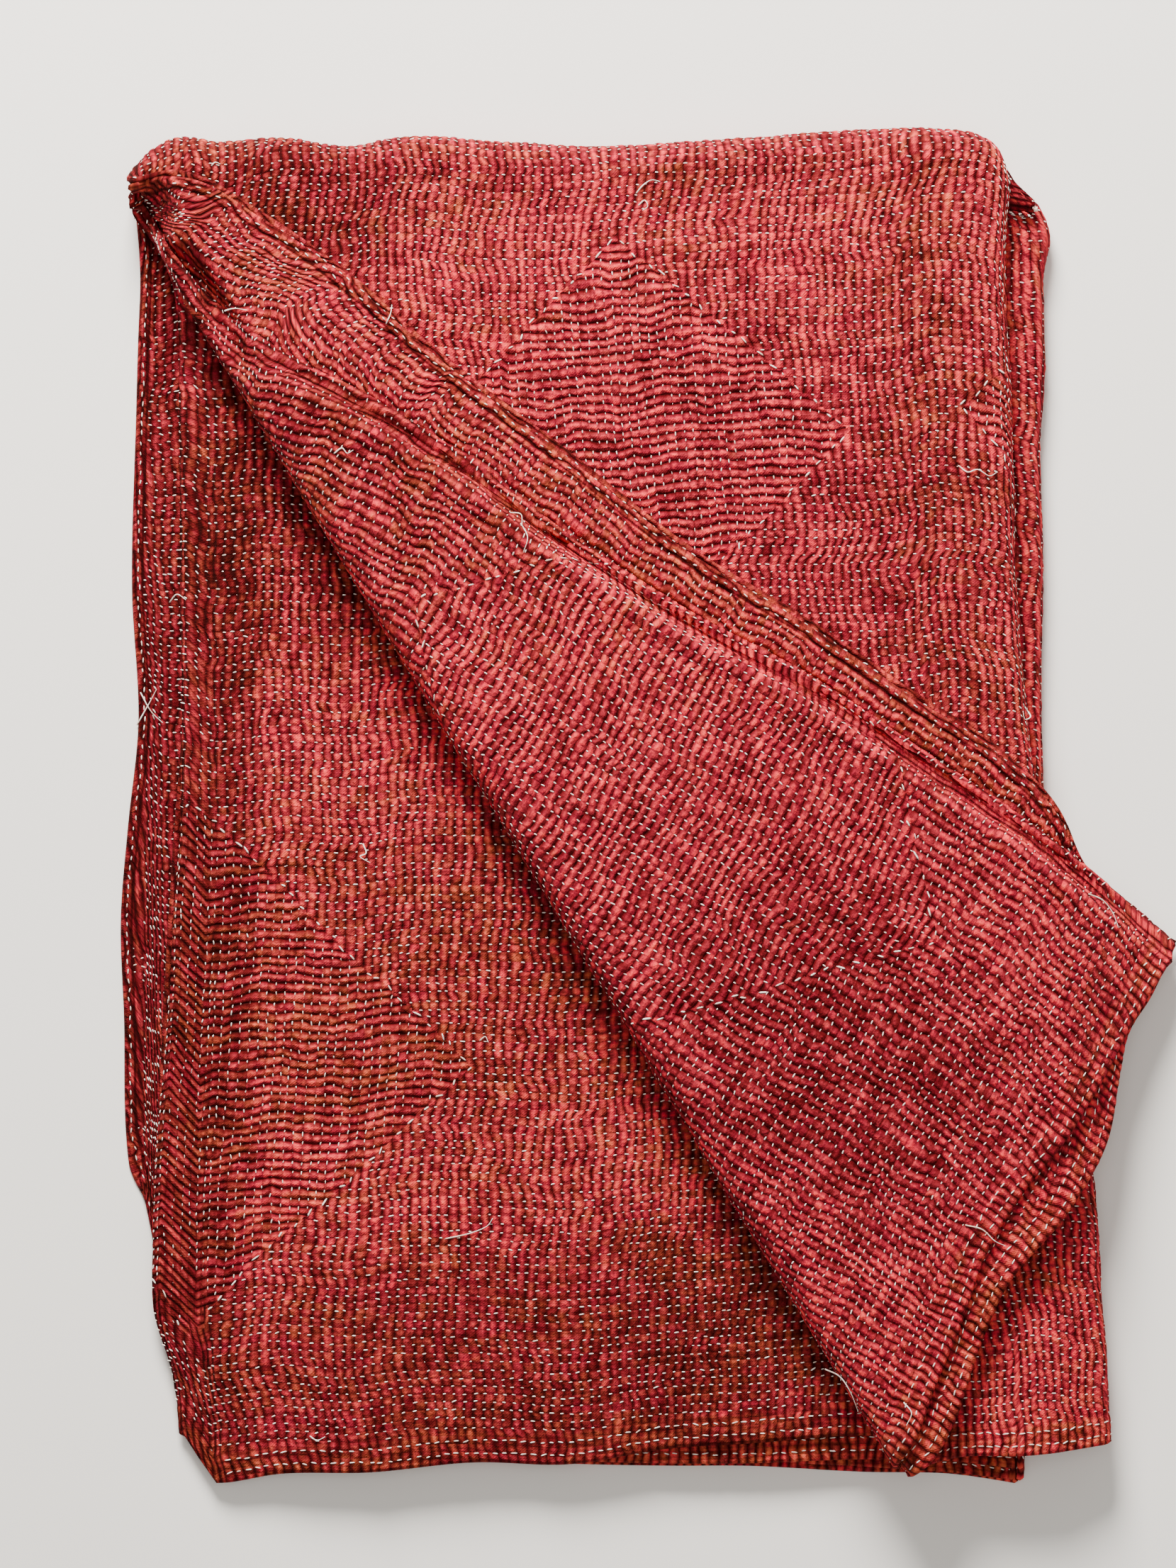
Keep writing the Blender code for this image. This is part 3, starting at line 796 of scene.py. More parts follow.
def leaf_corners(leaves):
    used = np.zeros((CELLS_ACROSS + 1, CELLS_UP + 1), bool)
    for cells, first in leaves.items():
        for a, b in ((0, 0), (cells, 0), (cells, cells), (0, cells)):
            used[first[:, 0] + a, first[:, 1] + b] = True
    return used


def join_rims(used, columns, rows):
    """Gives both faces the same points along the hems and where the meshes meet."""
    both = used[1] | used[-1]
    for side in (1, -1):
        for i in columns:
            used[side][i] |= both[i]
        for j in rows:
            used[side][:, j] |= both[:, j]


def face_rings(leaves, used):
    """The corners of each face in order, with those of finer neighbours between them."""
    number = np.arange(used.size).reshape(used.shape)
    fine = leaves[1]
    i, j = fine[:, 0], fine[:, 1]
    rings = np.stack([number[i, j], number[i + 1, j], number[i + 1, j + 1], number[i, j + 1]], -1).tolist()
    starts = fine.tolist()
    for cells, first in leaves.items():
        if cells == 1:
            continue
        for i, j in first.tolist():
            low = number[i : i + cells, j][used[i : i + cells, j]]
            right = number[i + cells, j : j + cells][used[i + cells, j : j + cells]]
            high = number[i + 1 : i + cells + 1, j + cells][used[i + 1 : i + cells + 1, j + cells]]
            left = number[i, j + 1 : j + cells + 1][used[i, j + 1 : j + cells + 1]]
            rings.append([*low.tolist(), *right.tolist(), *high[::-1].tolist(), *left[::-1].tolist()])
            starts.append([i, j])
    return rings, np.array(starts)


def sewing_marks(u, v):
    """What the finish reads at each point, three numbers for each attribute in MARKS."""
    across, up, turned, along, over = sewing(u, v)
    side, end = in_hem(u, v)
    return np.stack([along, over, side, *across, turned.astype(float), *up, end, *tone_and_painted_shade(u, v)], -1)


def cloth_points(used, side, seen):
    """Finished places and puff values of one face's points, by their number in the grid."""
    i, j = np.nonzero(used)
    u, v = cell_places(i, j)
    height = relief(u, v)
    block_i = np.clip(i // BLOCK, 0, seen.shape[0] - 1)
    block_j = np.clip(j // BLOCK, 0, seen.shape[1] - 1)
    quilted = widened(seen > 0)[block_i, block_j]
    lift = np.where(quilted, height, 0) + side * swelling(u, v) * quilted
    return i * used.shape[1] + j, on_pile(u, v, np.full(len(u), side), lift), sewing_marks(u, v)


def rim_points(places_u, places_v, out_u, out_v):
    """Points along the middle of a hem's edge, a little outside it."""
    u = places_u + out_u * RIM_ROUND
    v = places_v + out_v * RIM_ROUND
    return place(np.column_stack([u, v]))


def crease_edges(mesh, pairs):
    """Keeps the shading of a face apart from the wall where two meshes of the cloth meet."""
    if not pairs:
        return
    ends = np.empty(2 * len(mesh.edges), np.int64)
    mesh.edges.foreach_get("vertices", ends)
    ends = np.sort(ends.reshape(-1, 2), axis=1)
    wanted = np.array(pairs, np.int64)
    whole = len(mesh.vertices)
    sharp = np.isin(ends[:, 0] * whole + ends[:, 1], wanted[:, 0] * whole + wanted[:, 1])
    mesh.attributes.new("sharp_edge", "BOOLEAN", "EDGE").data.foreach_set("value", sharp)


def cloth_part(name, faces, box, material):
    """One closed mesh of the part of the sheet in this box of cells."""
    first_i, last_i, first_j, last_j = box
    points, sheet, rings = [], [], []
    numbers = {}
    count = 0
    for side in (1, -1):
        number, where, data, side_rings, starts, _ = faces[side]
        inside = (
            (starts[:, 0] >= first_i) & (starts[:, 0] < last_i)
            & (starts[:, 1] >= first_j) & (starts[:, 1] < last_j)
        )
        chosen = [side_rings[k] for k in np.flatnonzero(inside)]
        flat = np.unique(np.concatenate([np.asarray(ring) for ring in chosen]))
        lookup = np.full(number.max() + 1, -1)
        lookup[flat] = np.arange(len(flat)) + count
        order = np.searchsorted(number, flat)
        points.append(where[order])
        sheet.append(data[order])
        for ring in chosen:
            ring = lookup[ring].tolist()
            rings.append(ring if side == 1 else ring[::-1])
        numbers[side] = lookup
        count += len(flat)
    used = faces[1][5]
    width = used.shape[1]
    walls = (
        ([(i, first_j) for i in range(first_i, last_i + 1)], (0, -1)),
        ([(last_i, j) for j in range(first_j, last_j + 1)], (1, 0)),
        ([(i, last_j) for i in range(last_i, first_i - 1, -1)], (0, 1)),
        ([(first_i, j) for j in range(last_j, first_j - 1, -1)], (-1, 0)),
    )
    loop, outward, hemmed = [], [], []
    hems = (first_j == 0, last_i == CELLS_ACROSS, last_j == CELLS_UP, first_i == 0)
    for (cells, out), hem in zip(walls, hems):
        kept = [cell for cell in cells if used[cell]]
        loop += kept[:-1]
        outward += [out] * (len(kept) - 1)
        hemmed += [hem] * (len(kept) - 1)
    i, j = np.array(loop).T
    out = np.array(outward, float)
    turn = np.roll(out, 1, axis=0)
    out = np.where((out == turn).all(axis=1)[:, None], out, out + turn)
    at_hem = np.stack([(i == 0) | (i == CELLS_ACROSS), (j == 0) | (j == CELLS_UP)], -1)
    out = out * at_hem
    u, v = cell_places(i, j)
    points.append(rim_points(u, v, out[:, 0], out[:, 1]))
    sheet.append(sewing_marks(u, v))
    top = numbers[1][i * width + j]
    under = numbers[-1][i * width + j]
    middle = np.arange(len(loop)) + count
    meeting = []
    for k in range(len(loop)):
        n = (k + 1) % len(loop)
        rings.append([top[n], top[k], middle[k], middle[n]])
        rings.append([middle[n], middle[k], under[k], under[n]])
        if not hemmed[k]:
            meeting += [sorted((top[k], top[n])), sorted((under[k], under[n]))]
    mesh = bpy.data.meshes.new(name)
    mesh.from_pydata(np.concatenate(points).tolist(), [], rings)
    data = np.concatenate(sheet)
    for k, label in enumerate(MARKS):
        mark = mesh.attributes.new(label, "FLOAT_VECTOR", "POINT")
        mark.data.foreach_set("vector", data[:, 3 * k : 3 * k + 3].astype(np.float32).ravel())
    mesh.materials.append(material)
    mesh.shade_smooth()
    mesh.validate()
    crease_edges(mesh, meeting)
    piece = bpy.data.objects.new(name, mesh)
    bpy.context.scene.collection.objects.link(piece)
    return piece


def hex_colour(code):
    """An sRGB hex colour as linear light."""
    channels = [int(code[k : k + 2], 16) / 255 for k in (0, 2, 4)]
    linear = [c / 12.92 if c <= 0.04045 else ((c + 0.055) / 1.055) ** 2.4 for c in channels]
    return (*linear, 1.0)


def add_node(tree, kind, links=(), **settings):
    """Adds a node, sets its properties and sockets, and links other nodes' outputs to its inputs."""
    node = tree.nodes.new(kind)
    for name, value in settings.items():
        if hasattr(node, name) and name not in node.inputs:
            setattr(node, name, value)
        else:
            node.inputs[name].default_value = value
    for socket, source in links:
        tree.links.new(source, node.inputs[socket])
    return node


def stitch_row_places(box, turned, seeds):
    """Stitches of one direction of rows, measured along the cloth: place, angle, length and width."""
    low_u, high_u, low_v, high_v = box
    along_range = (low_v, high_v) if turned else (low_u, high_u)
    over_range = (low_u, high_u) if turned else (low_v, high_v)
    count = np.arange(math.floor(along_range[0] / STITCH_PITCH), math.ceil(along_range[1] / STITCH_PITCH))
    rows = np.arange(math.floor(over_range[0] / ROW_PITCH), math.ceil(over_range[1] / ROW_PITCH))
    n, row = (grid.ravel().astype(float) for grid in np.meshgrid(count, rows, indexing="ij"))
    along = n * STITCH_PITCH
    over = row * ROW_PITCH
    for _ in range(4):
        along += (n - ridge_phase(along, over, seeds)) * STITCH_PITCH * 0.8
        over += (row - row_phase(along, over, seeds)) * ROW_PITCH * 0.8
    random = np.random.RandomState(seeds + 7)
    along += random.normal(0, 0.33, len(along)) * MM
    over += random.normal(0, 0.2, len(over)) * MM
    long = np.clip(random.normal(1, 0.24, len(along)), 0.4, 1.8)
    slant = random.normal(0, 0.13, len(along)) + 0.18 * soft_noise(along, over, 40 * MM, 25 * MM, seeds + 8)
    angle = slant + (math.pi / 2 if turned else 0)
    u, v = (over, along) if turned else (along, over)
    stitches = np.stack([u, v, angle, long, np.ones(len(u))], -1)
    own = (in_diamond(u, v) == turned) & (np.abs(diamond_edge(u, v)) > EDGE_CLEAR)
    return stitches[own]


def diamond_edge(u, v):
    """Distance to the nearest edge of a diamond, along the cloth."""
    nearest = np.full(len(u), 1.0)
    for across, up, wide, high in DIAMONDS:
        share = np.abs(u - across * MM) / (wide * MM) + np.abs(v - up * MM) / (high * MM) - 1
        nearest = np.minimum(nearest, np.abs(share) * wide * high / math.hypot(wide, high) * MM)
    return nearest


def diamond_edge_places():
    """The longer, slanting stitches where the rows of a diamond meet the others."""
    random = np.random.RandomState(61)
    found = []
    for across, up, wide, high in DIAMONDS:
        corners = np.array([(wide, 0), (0, high), (-wide, 0), (0, -high), (wide, 0)], float) * MM
        for start, end in zip(corners[:-1], corners[1:]):
            way = end - start
            count = int(np.linalg.norm(way) / EDGE_PITCH)
            share = (np.arange(count) + 0.5 + random.uniform(-0.3, 0.3, count)) / count
            where = start + share[:, None] * way + np.array((across, up)) * MM
            where += random.normal(0, 0.5, where.shape) * MM
            angle = math.atan2(way[1], way[0]) + random.normal(0, 0.28, count)
            long = np.clip(random.normal(1.75, 0.4, count), 1.0, 2.6)
            found.append(np.column_stack([where, angle, long, random.uniform(1.1, 1.5, count)]))
    return np.concatenate(found)


def hem_places():
    """Stitches that hold the hems, flat places: one row in each side hem, two in each end hem."""
    random = np.random.RandomState(67)
    found = []
    up = np.arange(FOOT_HEM, FLAT_HEAD, SIDE_HEM_PITCH)
    for u in (SIDE_HEM + SIDE_HEM_ROW, LAST_HEM - SIDE_HEM_ROW):
        found.append((np.full(len(up), u), up, math.pi / 2, 1.15))
    across = np.arange(SIDE_HEM, LAST_HEM, END_HEM_PITCH)
    for row in END_HEM_ROWS:
        for v in (FOOT_HEM + row, FLAT_HEAD - row):
            found.append((across, np.full(len(across), v), 0.0, 1.4))
    stitches = []
    for u, v, angle, long in found:
        count = len(u)
        where = np.column_stack([u, v]) + random.normal(0, 0.25, (count, 2)) * MM
        slant = angle + random.normal(0, 0.16, count)
        length = long * random.uniform(0.75, 1.25, count)
        stitches.append(np.column_stack([where, slant, length, np.ones(count)]))
    return np.concatenate(stitches)


def all_stitches():
    """Every stitch of a face: flat place, direction in the flat sheet, length and width."""
    whole = (SIDE_HEM - SPARE, LAST_HEM + SPARE, FOOT_HEM - SPARE, FLAT_HEAD + SPARE)
    ways = ((False, ACROSS_SEED), (True, UP_SEED))
    sewn = [stitch_row_places(whole, turned, seed) for turned, seed in ways]
    sewn = np.concatenate([*sewn, diamond_edge_places()])
    u, v = unsewn_place(sewn[:, 0], sewn[:, 1])
    across, up = slack_at(u, v)
    side, end = in_hem(u, v)
    settled = np.hypot(u + across - sewn[:, 0], v + up - sewn[:, 1]) < 0.3 * MM
    inside = settled & (side < -0.1) & (end < -0.05)
    stitches = np.column_stack([u, v, sewn[:, 2:]])[inside]
    return np.concatenate([stitches, hem_places()])


def stitches_seen(stitches, seen):
    """The stitches that lie on blocks that show."""
    u, v = stitches[:, 0], stitches[:, 1]
    i = ((u - SIDE_HEM) / (LAST_HEM - SIDE_HEM) * seen.shape[0]).astype(int)
    j = ((v - FOOT_HEM) / (FLAT_HEAD - FOOT_HEM) * seen.shape[1]).astype(int)
    on_sheet = (u > SIDE_HEM) & (u < LAST_HEM) & (v > FOOT_HEM) & (v < FLAT_HEAD)
    i = np.clip(i, 0, seen.shape[0] - 1)
    j = np.clip(j, 0, seen.shape[1] - 1)
    return stitches[on_sheet & widened(seen > 0)[i, j]]


def thread_seat(u, v, side):
    """Place of the quilted face under a stitch, and its two directions there."""
    def rise(du, dv):
        return (side * relief(u + du, v + dv) + swelling(u + du, v + dv))[:, None]

    step = 0.7 * MM
    middle, across, up, outward = middle_and_outward(u, v)
    seat = middle + outward * (side[:, None] * CLOTH / 2 + rise(0, 0))
    seat[:, 2] = np.maximum(seat[:, 2], THREAD_WIDE)
    across = across + outward * (rise(step, 0) - rise(-step, 0))
    up = up + outward * (rise(0, step) - rise(0, -step))
    return seat, unit(across), unit(up)


def stitch_piece(name, stitches, side, tree, material):
    """The stitches as one mesh: a point for each, which the node tree turns into a short thread."""
    u, v, angle, long, wide = stitches.T
    sides = np.full(len(u), float(side))
    seat, across, up = thread_seat(u, v, sides)
    along = unit(across * np.cos(angle)[:, None] + up * np.sin(angle)[:, None])
    normal = unit(np.cross(across, up) * side)
    mesh = bpy.data.meshes.new(name + "_places")
    mesh.from_pydata((seat + normal * THREAD_THICK * 0.35).tolist(), [], [])
    for label, values in (("along", along), ("outward", normal)):
        attribute = mesh.attributes.new(label, "FLOAT_VECTOR", "POINT")
        attribute.data.foreach_set("vector", values.astype(np.float32).ravel())
    for label, values in (("long", long), ("wide", wide)):
        attribute = mesh.attributes.new(label, "FLOAT", "POINT")
        attribute.data.foreach_set("value", values.astype(np.float32))
    places = bpy.data.objects.new(name + "_places", mesh)
    bpy.context.scene.collection.objects.link(places)
    modifier = places.modifiers.new("threads", "NODES")
    modifier.node_group = tree
    identifiers = {item.name: item.identifier for item in tree.interface.items_tree if item.in_out == "INPUT"}
    modifier[identifiers["Thread"]] = material
    graph = bpy.context.evaluated_depsgraph_get()
    made = bpy.data.meshes.new_from_object(places.evaluated_get(graph))
    made.name = name
    bpy.data.objects.remove(places)
    piece = bpy.data.objects.new(name, made)
    bpy.context.scene.collection.objects.link(piece)
    return piece


def stitch_tree():
    """A short thread on each point, lying along the row, with its own length."""
    tree = bpy.data.node_groups.new("running_stitches", "GeometryNodeTree")
    face = tree.interface
    face.new_socket("Places", in_out="INPUT", socket_type="NodeSocketGeometry")
    for label, size in (
        ("Stitch length", STITCH_LONG), ("Thread width", THREAD_WIDE), ("Thread thickness", THREAD_THICK),
    ):
        socket = face.new_socket(label, in_out="INPUT", socket_type="NodeSocketFloat")
        socket.default_value = size
    face.new_socket("Thread", in_out="INPUT", socket_type="NodeSocketMaterial")
    face.new_socket("Stitches", in_out="OUTPUT", socket_type="NodeSocketGeometry")
    given = add_node(tree, "NodeGroupInput").outputs

    def named(label, kind):
        node = add_node(tree, "GeometryNodeInputNamedAttribute", data_type=kind)
        node.inputs["Name"].default_value = label
        return next(output for output in node.outputs if output.enabled)

    thread = add_node(tree, "GeometryNodeMeshUVSphere", Segments=4, Rings=3, Radius=0.5)
    lengthways = add_node(
        tree, "FunctionNodeAlignRotationToVector", [("Vector", named("along", "FLOAT_VECTOR"))], axis="Z"
    )
    laid = add_node(
        tree,
        "FunctionNodeAlignRotationToVector",
        [("Rotation", lengthways.outputs[0]), ("Vector", named("outward", "FLOAT_VECTOR"))],
        axis="X",
        pivot_axis="Z",
    )

    def product(first, second):
        return add_node(tree, "ShaderNodeMath", [(0, first), (1, second)], operation="MULTIPLY").outputs[0]

    own_length = product(given["Stitch length"], named("long", "FLOAT"))
    own_width = product(given["Thread width"], named("wide", "FLOAT"))
    size = add_node(
        tree,
        "ShaderNodeCombineXYZ",
        [("X", given["Thread thickness"]), ("Y", own_width), ("Z", own_length)],
    )
    threads = add_node(
        tree,
        "GeometryNodeInstanceOnPoints",
        [
            ("Points", given["Places"]),
            ("Instance", thread.outputs["Mesh"]),
            ("Rotation", laid.outputs[0]),
            ("Scale", size.outputs[0]),
        ],
    )
    real = add_node(tree, "GeometryNodeRealizeInstances", [("Geometry", threads.outputs[0])])
    smooth = add_node(tree, "GeometryNodeSetShadeSmooth", [("Geometry", real.outputs[0])])
    finished = add_node(
        tree, "GeometryNodeSetMaterial", [("Geometry", smooth.outputs[0]), ("Material", given["Thread"])]
    )
    add_node(tree, "NodeGroupOutput", [("Stitches", finished.outputs[0])])
    return tree


def quilted_cotton():
    """Madder-dyed cotton, quilted and washed soft: matt, streaked along warp and weft, paler where worn. Its
    colour also carries painted shade: darker in the creases between the puffs, beside the hems, and in part
    of the tone patches.
    """
    material = bpy.data.materials.new("madder_dyed_quilted_cotton")
    material.use_nodes = True
    tree = material.node_tree
    shader = tree.nodes["Principled BSDF"]
    shader.inputs["Roughness"].default_value = 0.92
    shader.inputs["Specular IOR Level"].default_value = 0.05
    shader.inputs["Sheen Weight"].default_value = 0.05
    shader.inputs["Sheen Tint"].default_value = hex_colour("D86A66")
    shader.inputs["Sheen Roughness"].default_value = 0.6

    def parts(vector):
        return add_node(tree, "ShaderNodeSeparateXYZ", [("Vector", vector)]).outputs

    flat = add_node(tree, "ShaderNodeAttribute", attribute_name="sewn_place").outputs["Vector"]
    hem = parts(flat)[2]

    def noise(size_u, size_v, detail=2.0, offset=0.0):
        spread = add_node(tree, "ShaderNodeMapping", [("Vector", flat)])
        spread.inputs["Scale"].default_value = (1 / size_u, 1 / size_v, 1)
        spread.inputs["Location"].default_value = (offset, offset, 0)
        return add_node(
            tree, "ShaderNodeTexNoise", [("Vector", spread.outputs[0])],
            Scale=1.0, Detail=detail, Roughness=0.6,
        ).outputs["Fac"]

    def ramp(fac, *stops):
        node = add_node(tree, "ShaderNodeValToRGB", [("Fac", fac)])
        elements = node.color_ramp.elements
        while len(elements) < len(stops):
            elements.new(0.5)
        for element, (at, colour) in zip(elements, stops):
            element.position = at
            element.color = hex_colour(colour) if isinstance(colour, str) else (colour, colour, colour, 1)
        return node.outputs["Color"]

    def mix(fac, first, second, blend="MIX"):
        node = add_node(tree, "ShaderNodeMix", data_type="RGBA", blend_type=blend)
        for socket, value in ((0, fac), (6, first), (7, second)):
            if isinstance(value, bpy.types.NodeSocket):
                tree.links.new(value, node.inputs[socket])
            elif isinstance(value, str):
                node.inputs[socket].default_value = hex_colour(value)
            else:
                node.inputs[socket].default_value = value
        return node.outputs[2]

    def maths(operation, first, second=0.0):
        node = add_node(tree, "ShaderNodeMath", operation=operation)
        for socket, value in ((0, first), (1, second)):
            if isinstance(value, bpy.types.NodeSocket):
                tree.links.new(value, node.inputs[socket])
            else:
                node.inputs[socket].default_value = value
        return node.outputs[0]

    def form(phase, power):
        """0 in the crease at each stitch or row, 1 on the puff between two."""
        wave = maths("ABSOLUTE", maths("SINE", maths("MULTIPLY", phase, math.pi)))
        return maths("POWER", wave, power)

    def total(*terms):
        """Sum of sources, each times its share."""
        whole = maths("MULTIPLY", terms[0][1], terms[0][0])
        for share, source in terms[1:]:
            whole = maths("ADD", whole, maths("MULTIPLY", source, share))
        return whole

    across = add_node(tree, "ShaderNodeAttribute", attribute_name="rows_across").outputs["Vector"]
    up = add_node(tree, "ShaderNodeAttribute", attribute_name="rows_up").outputs["Vector"]
    turned = maths("GREATER_THAN", parts(across)[2], 0.5)
    end_hem = ramp(parts(up)[2], (0.0, 0.0), (0.06, 1.0))
    side_hem = ramp(hem, (0.0, 0.0), (0.12, 1.0))
    rows = add_node(tree, "ShaderNodeMix", [(0, turned), (4, across), (5, up)], data_type="VECTOR").outputs[1]
    ridge, row, _ = parts(rows)
    puff = maths("MULTIPLY", form(ridge, 0.75), total((0.32, form(row, 0.6)), (0.68, 1.0)))
    count = add_node(
        tree, "ShaderNodeCombineXYZ",
        [("X", maths("FLOOR", ridge)), ("Y", maths("FLOOR", row)), ("Z", turned)],
    )
    # The tone patches darken the colour, partly as painted shade
    tone = add_node(tree, "ShaderNodeAttribute", attribute_name="tone_and_painted_shade").outputs["Vector"]
    dark, brown, washed = parts(tone)
    broad = noise(120 * MM, 80 * MM, 2, 51.0)
    own = parts(add_node(tree, "ShaderNodeTexWhiteNoise", [("Vector", count.outputs[0])]).outputs["Color"])
    weft = ramp(noise(26 * MM, 3.0 * MM, 2), (0.34, 0.0), (0.66, 1.0))
    warp = ramp(noise(3.0 * MM, 26 * MM, 2, 5.0), (0.34, 0.0), (0.66, 1.0))
    worn = ramp(noise(2.6 * MM, 2.3 * MM, 2, 15.0), (0.3, 0.0), (0.7, 1.0))
    fibre = noise(0.8 * MM, 0.8 * MM, 2, 9.0)
    # Painted shade: a dark line in the colour where each side hem ends, the crease beside the hem
    hem_groove_shade = total((1.0, ramp(maths("ABSOLUTE", hem), (0.0, 1.0), (0.2, 0.0))))
    # Painted shade: the colour is darkest in the creases between the puffs; the pale worn tops of the puffs
    # are real wear
    worn_tops_and_crease_shade = maths("MULTIPLY", puff, total((-0.5, washed), (1.0, 1.0)))
    height = total(
        (0.44, worn_tops_and_crease_shade), (0.13, washed), (0.18, weft), (0.18, warp),
        (0.18, worn), (0.1, fibre), (0.14, own[0]),
        (0.1, broad), (-0.02, side_hem), (-0.34, hem_groove_shade), (-1.0, dark)
    )
    height = maths("ADD", height, -0.13)
    patches = noise(52 * MM, 24 * MM, 3, 3.0)
    stripes = total((0.5, noise(6 * MM, 70 * MM, 2, 21.0)), (0.5, noise(70 * MM, 6 * MM, 2, 27.0)))
    foot = add_node(
        tree, "ShaderNodeMapRange", [("Value", parts(flat)[1])],
        **{"From Min": 0.2, "From Max": -0.32, "To Min": 0.0, "To Max": 1.0},
    ).outputs[0]
    blots = noise(7 * MM, 6 * MM, 2, 39.0)
    tan = total(
        (0.36, patches), (0.28, stripes), (0.28, blots), (0.1, own[1]), (0.03, foot),
        (0.03, side_hem), (0.05, end_hem), (1.0, brown)
    )
    tan = ramp(tan, (0.5, 0.0), (0.66, 0.85))
    dyed = mix(tan, ramp(height, *CRIMSON_WITH_CREASE_SHADE), ramp(height, *TAN_WITH_CREASE_SHADE))
    olive = ramp(noise(24 * MM, 17 * MM, 3, 33.0), (0.52, 0.0), (0.66, 0.7))
    olive = maths("MULTIPLY", olive, total((0.7, tan), (0.4, end_hem)))
    browned = mix(olive, dyed, mix(1.0, dyed, "B8B094", "MULTIPLY"))
    rosy = ramp(noise(11 * MM, 8 * MM, 2, 63.0), (0.48, 0.0), (0.6, 1.0))
    rosy = mix(rosy, browned, mix(1.0, browned, "F0C4EC", "MULTIPLY"))
    tree.links.new(rosy, shader.inputs["Base Color"])
    # The twill's ribs are half a millimetre apart and drawn at nearly one, so that they show
    on_face = add_node(tree, "ShaderNodeMapping", [("Vector", flat)])
    on_face.inputs["Scale"].default_value = (1, 1, 0)
    twill = add_node(
        tree, "ShaderNodeTexWave", [("Vector", on_face.outputs[0])],
        bands_direction="DIAGONAL", Scale=495.0, Distortion=1.2, Detail=1.0,
    ).outputs["Fac"]
    relief_of = None
    for source, strength, deep in ((twill, 0.4, 0.2), (fibre, 0.5, 0.4), (worn, 0.7, 0.6), (puff, 1.0, 1.0)):
        before = [("Normal", relief_of)] if relief_of else []
        relief_of = add_node(
            tree, "ShaderNodeBump", [("Height", source), *before], Strength=strength, Distance=deep * MM
        ).outputs[0]
    tree.links.new(relief_of, shader.inputs["Normal"])
    return material


def thread_material():
    """Undyed cotton thread: off-white, matt, a little uneven."""
    material = bpy.data.materials.new("undyed_cotton_thread")
    material.use_nodes = True
    tree = material.node_tree
    shader = tree.nodes["Principled BSDF"]
    shader.inputs["Roughness"].default_value = 0.85
    shader.inputs["Specular IOR Level"].default_value = 0.2
    place_on = add_node(tree, "ShaderNodeTexCoord").outputs["Object"]
    uneven = add_node(tree, "ShaderNodeTexNoise", [("Vector", place_on)], Scale=140.0, Detail=2.0)
    tint = add_node(tree, "ShaderNodeValToRGB", [("Fac", uneven.outputs["Fac"])])
    tint.color_ramp.elements[0].position = 0.3
    tint.color_ramp.elements[0].color = hex_colour("D8B7A4")
    tint.color_ramp.elements[1].position = 0.6
    tint.color_ramp.elements[1].color = hex_colour(THREAD_WHITE)
    tree.links.new(tint.outputs["Color"], shader.inputs["Base Color"])
    return material


def floor_material():
    """Pale painted boards, matt."""
    material = bpy.data.materials.new("pale_matt_floor")
    material.use_nodes = True
    shader = material.node_tree.nodes["Principled BSDF"]
    shader.inputs["Base Color"].default_value = hex_colour("F7F6F3")
    shader.inputs["Roughness"].default_value = 0.7
    return material


def make_floor():
    mesh = bpy.data.meshes.new("floor")
    half = 3.0
    corners = [(-half, -half, 0), (half, -half, 0), (half, half, 0), (-half, half, 0)]
    mesh.from_pydata(corners, [], [(0, 1, 2, 3)])
    mesh.materials.append(floor_material())
    floor = bpy.data.objects.new("floor", mesh)
    bpy.context.scene.collection.objects.link(floor)


def make_camera():
    camera = bpy.data.objects.new("camera", bpy.data.cameras.new("camera"))
    bpy.context.scene.collection.objects.link(camera)
    camera.location = (FRAME_CENTRE[0], FRAME_CENTRE[1], CAMERA_HIGH)
    camera.data.sensor_fit = "VERTICAL"
    camera.data.angle = 2 * math.atan(FRAME_HIGH / 2 / (CAMERA_HIGH - FRAME_LEVEL))
    bpy.context.scene.camera = camera


def soft_light(name, where, towards, size, watts, colour):
    light = bpy.data.lights.new(name, "AREA")
    light.shape = "DISK"
    light.size = size
    light.energy = watts
    light.color = hex_colour(colour)[:3]
    lamp = bpy.data.objects.new(name, light)
    bpy.context.scene.collection.objects.link(lamp)
    lamp.location = where
    lamp.rotation_euler = (Vector(towards) - Vector(where)).to_track_quat("-Z", "Y").to_euler()


def make_light():
    world = bpy.data.worlds.new("studio")
    world.use_nodes = True
    world.node_tree.nodes["Background"].inputs["Color"].default_value = hex_colour("EFEAE4")
    world.node_tree.nodes["Background"].inputs["Strength"].default_value = 0.42
    bpy.context.scene.world = world
    soft_light("window", (-0.4, 2.1, 1.25), (0, 0, 0), 1.0, 235, "FFF8F0")
    soft_light("overhead", (0.3, -0.2, 2.4), (0, 0, 0), 2.0, 18, "FFFAF2")


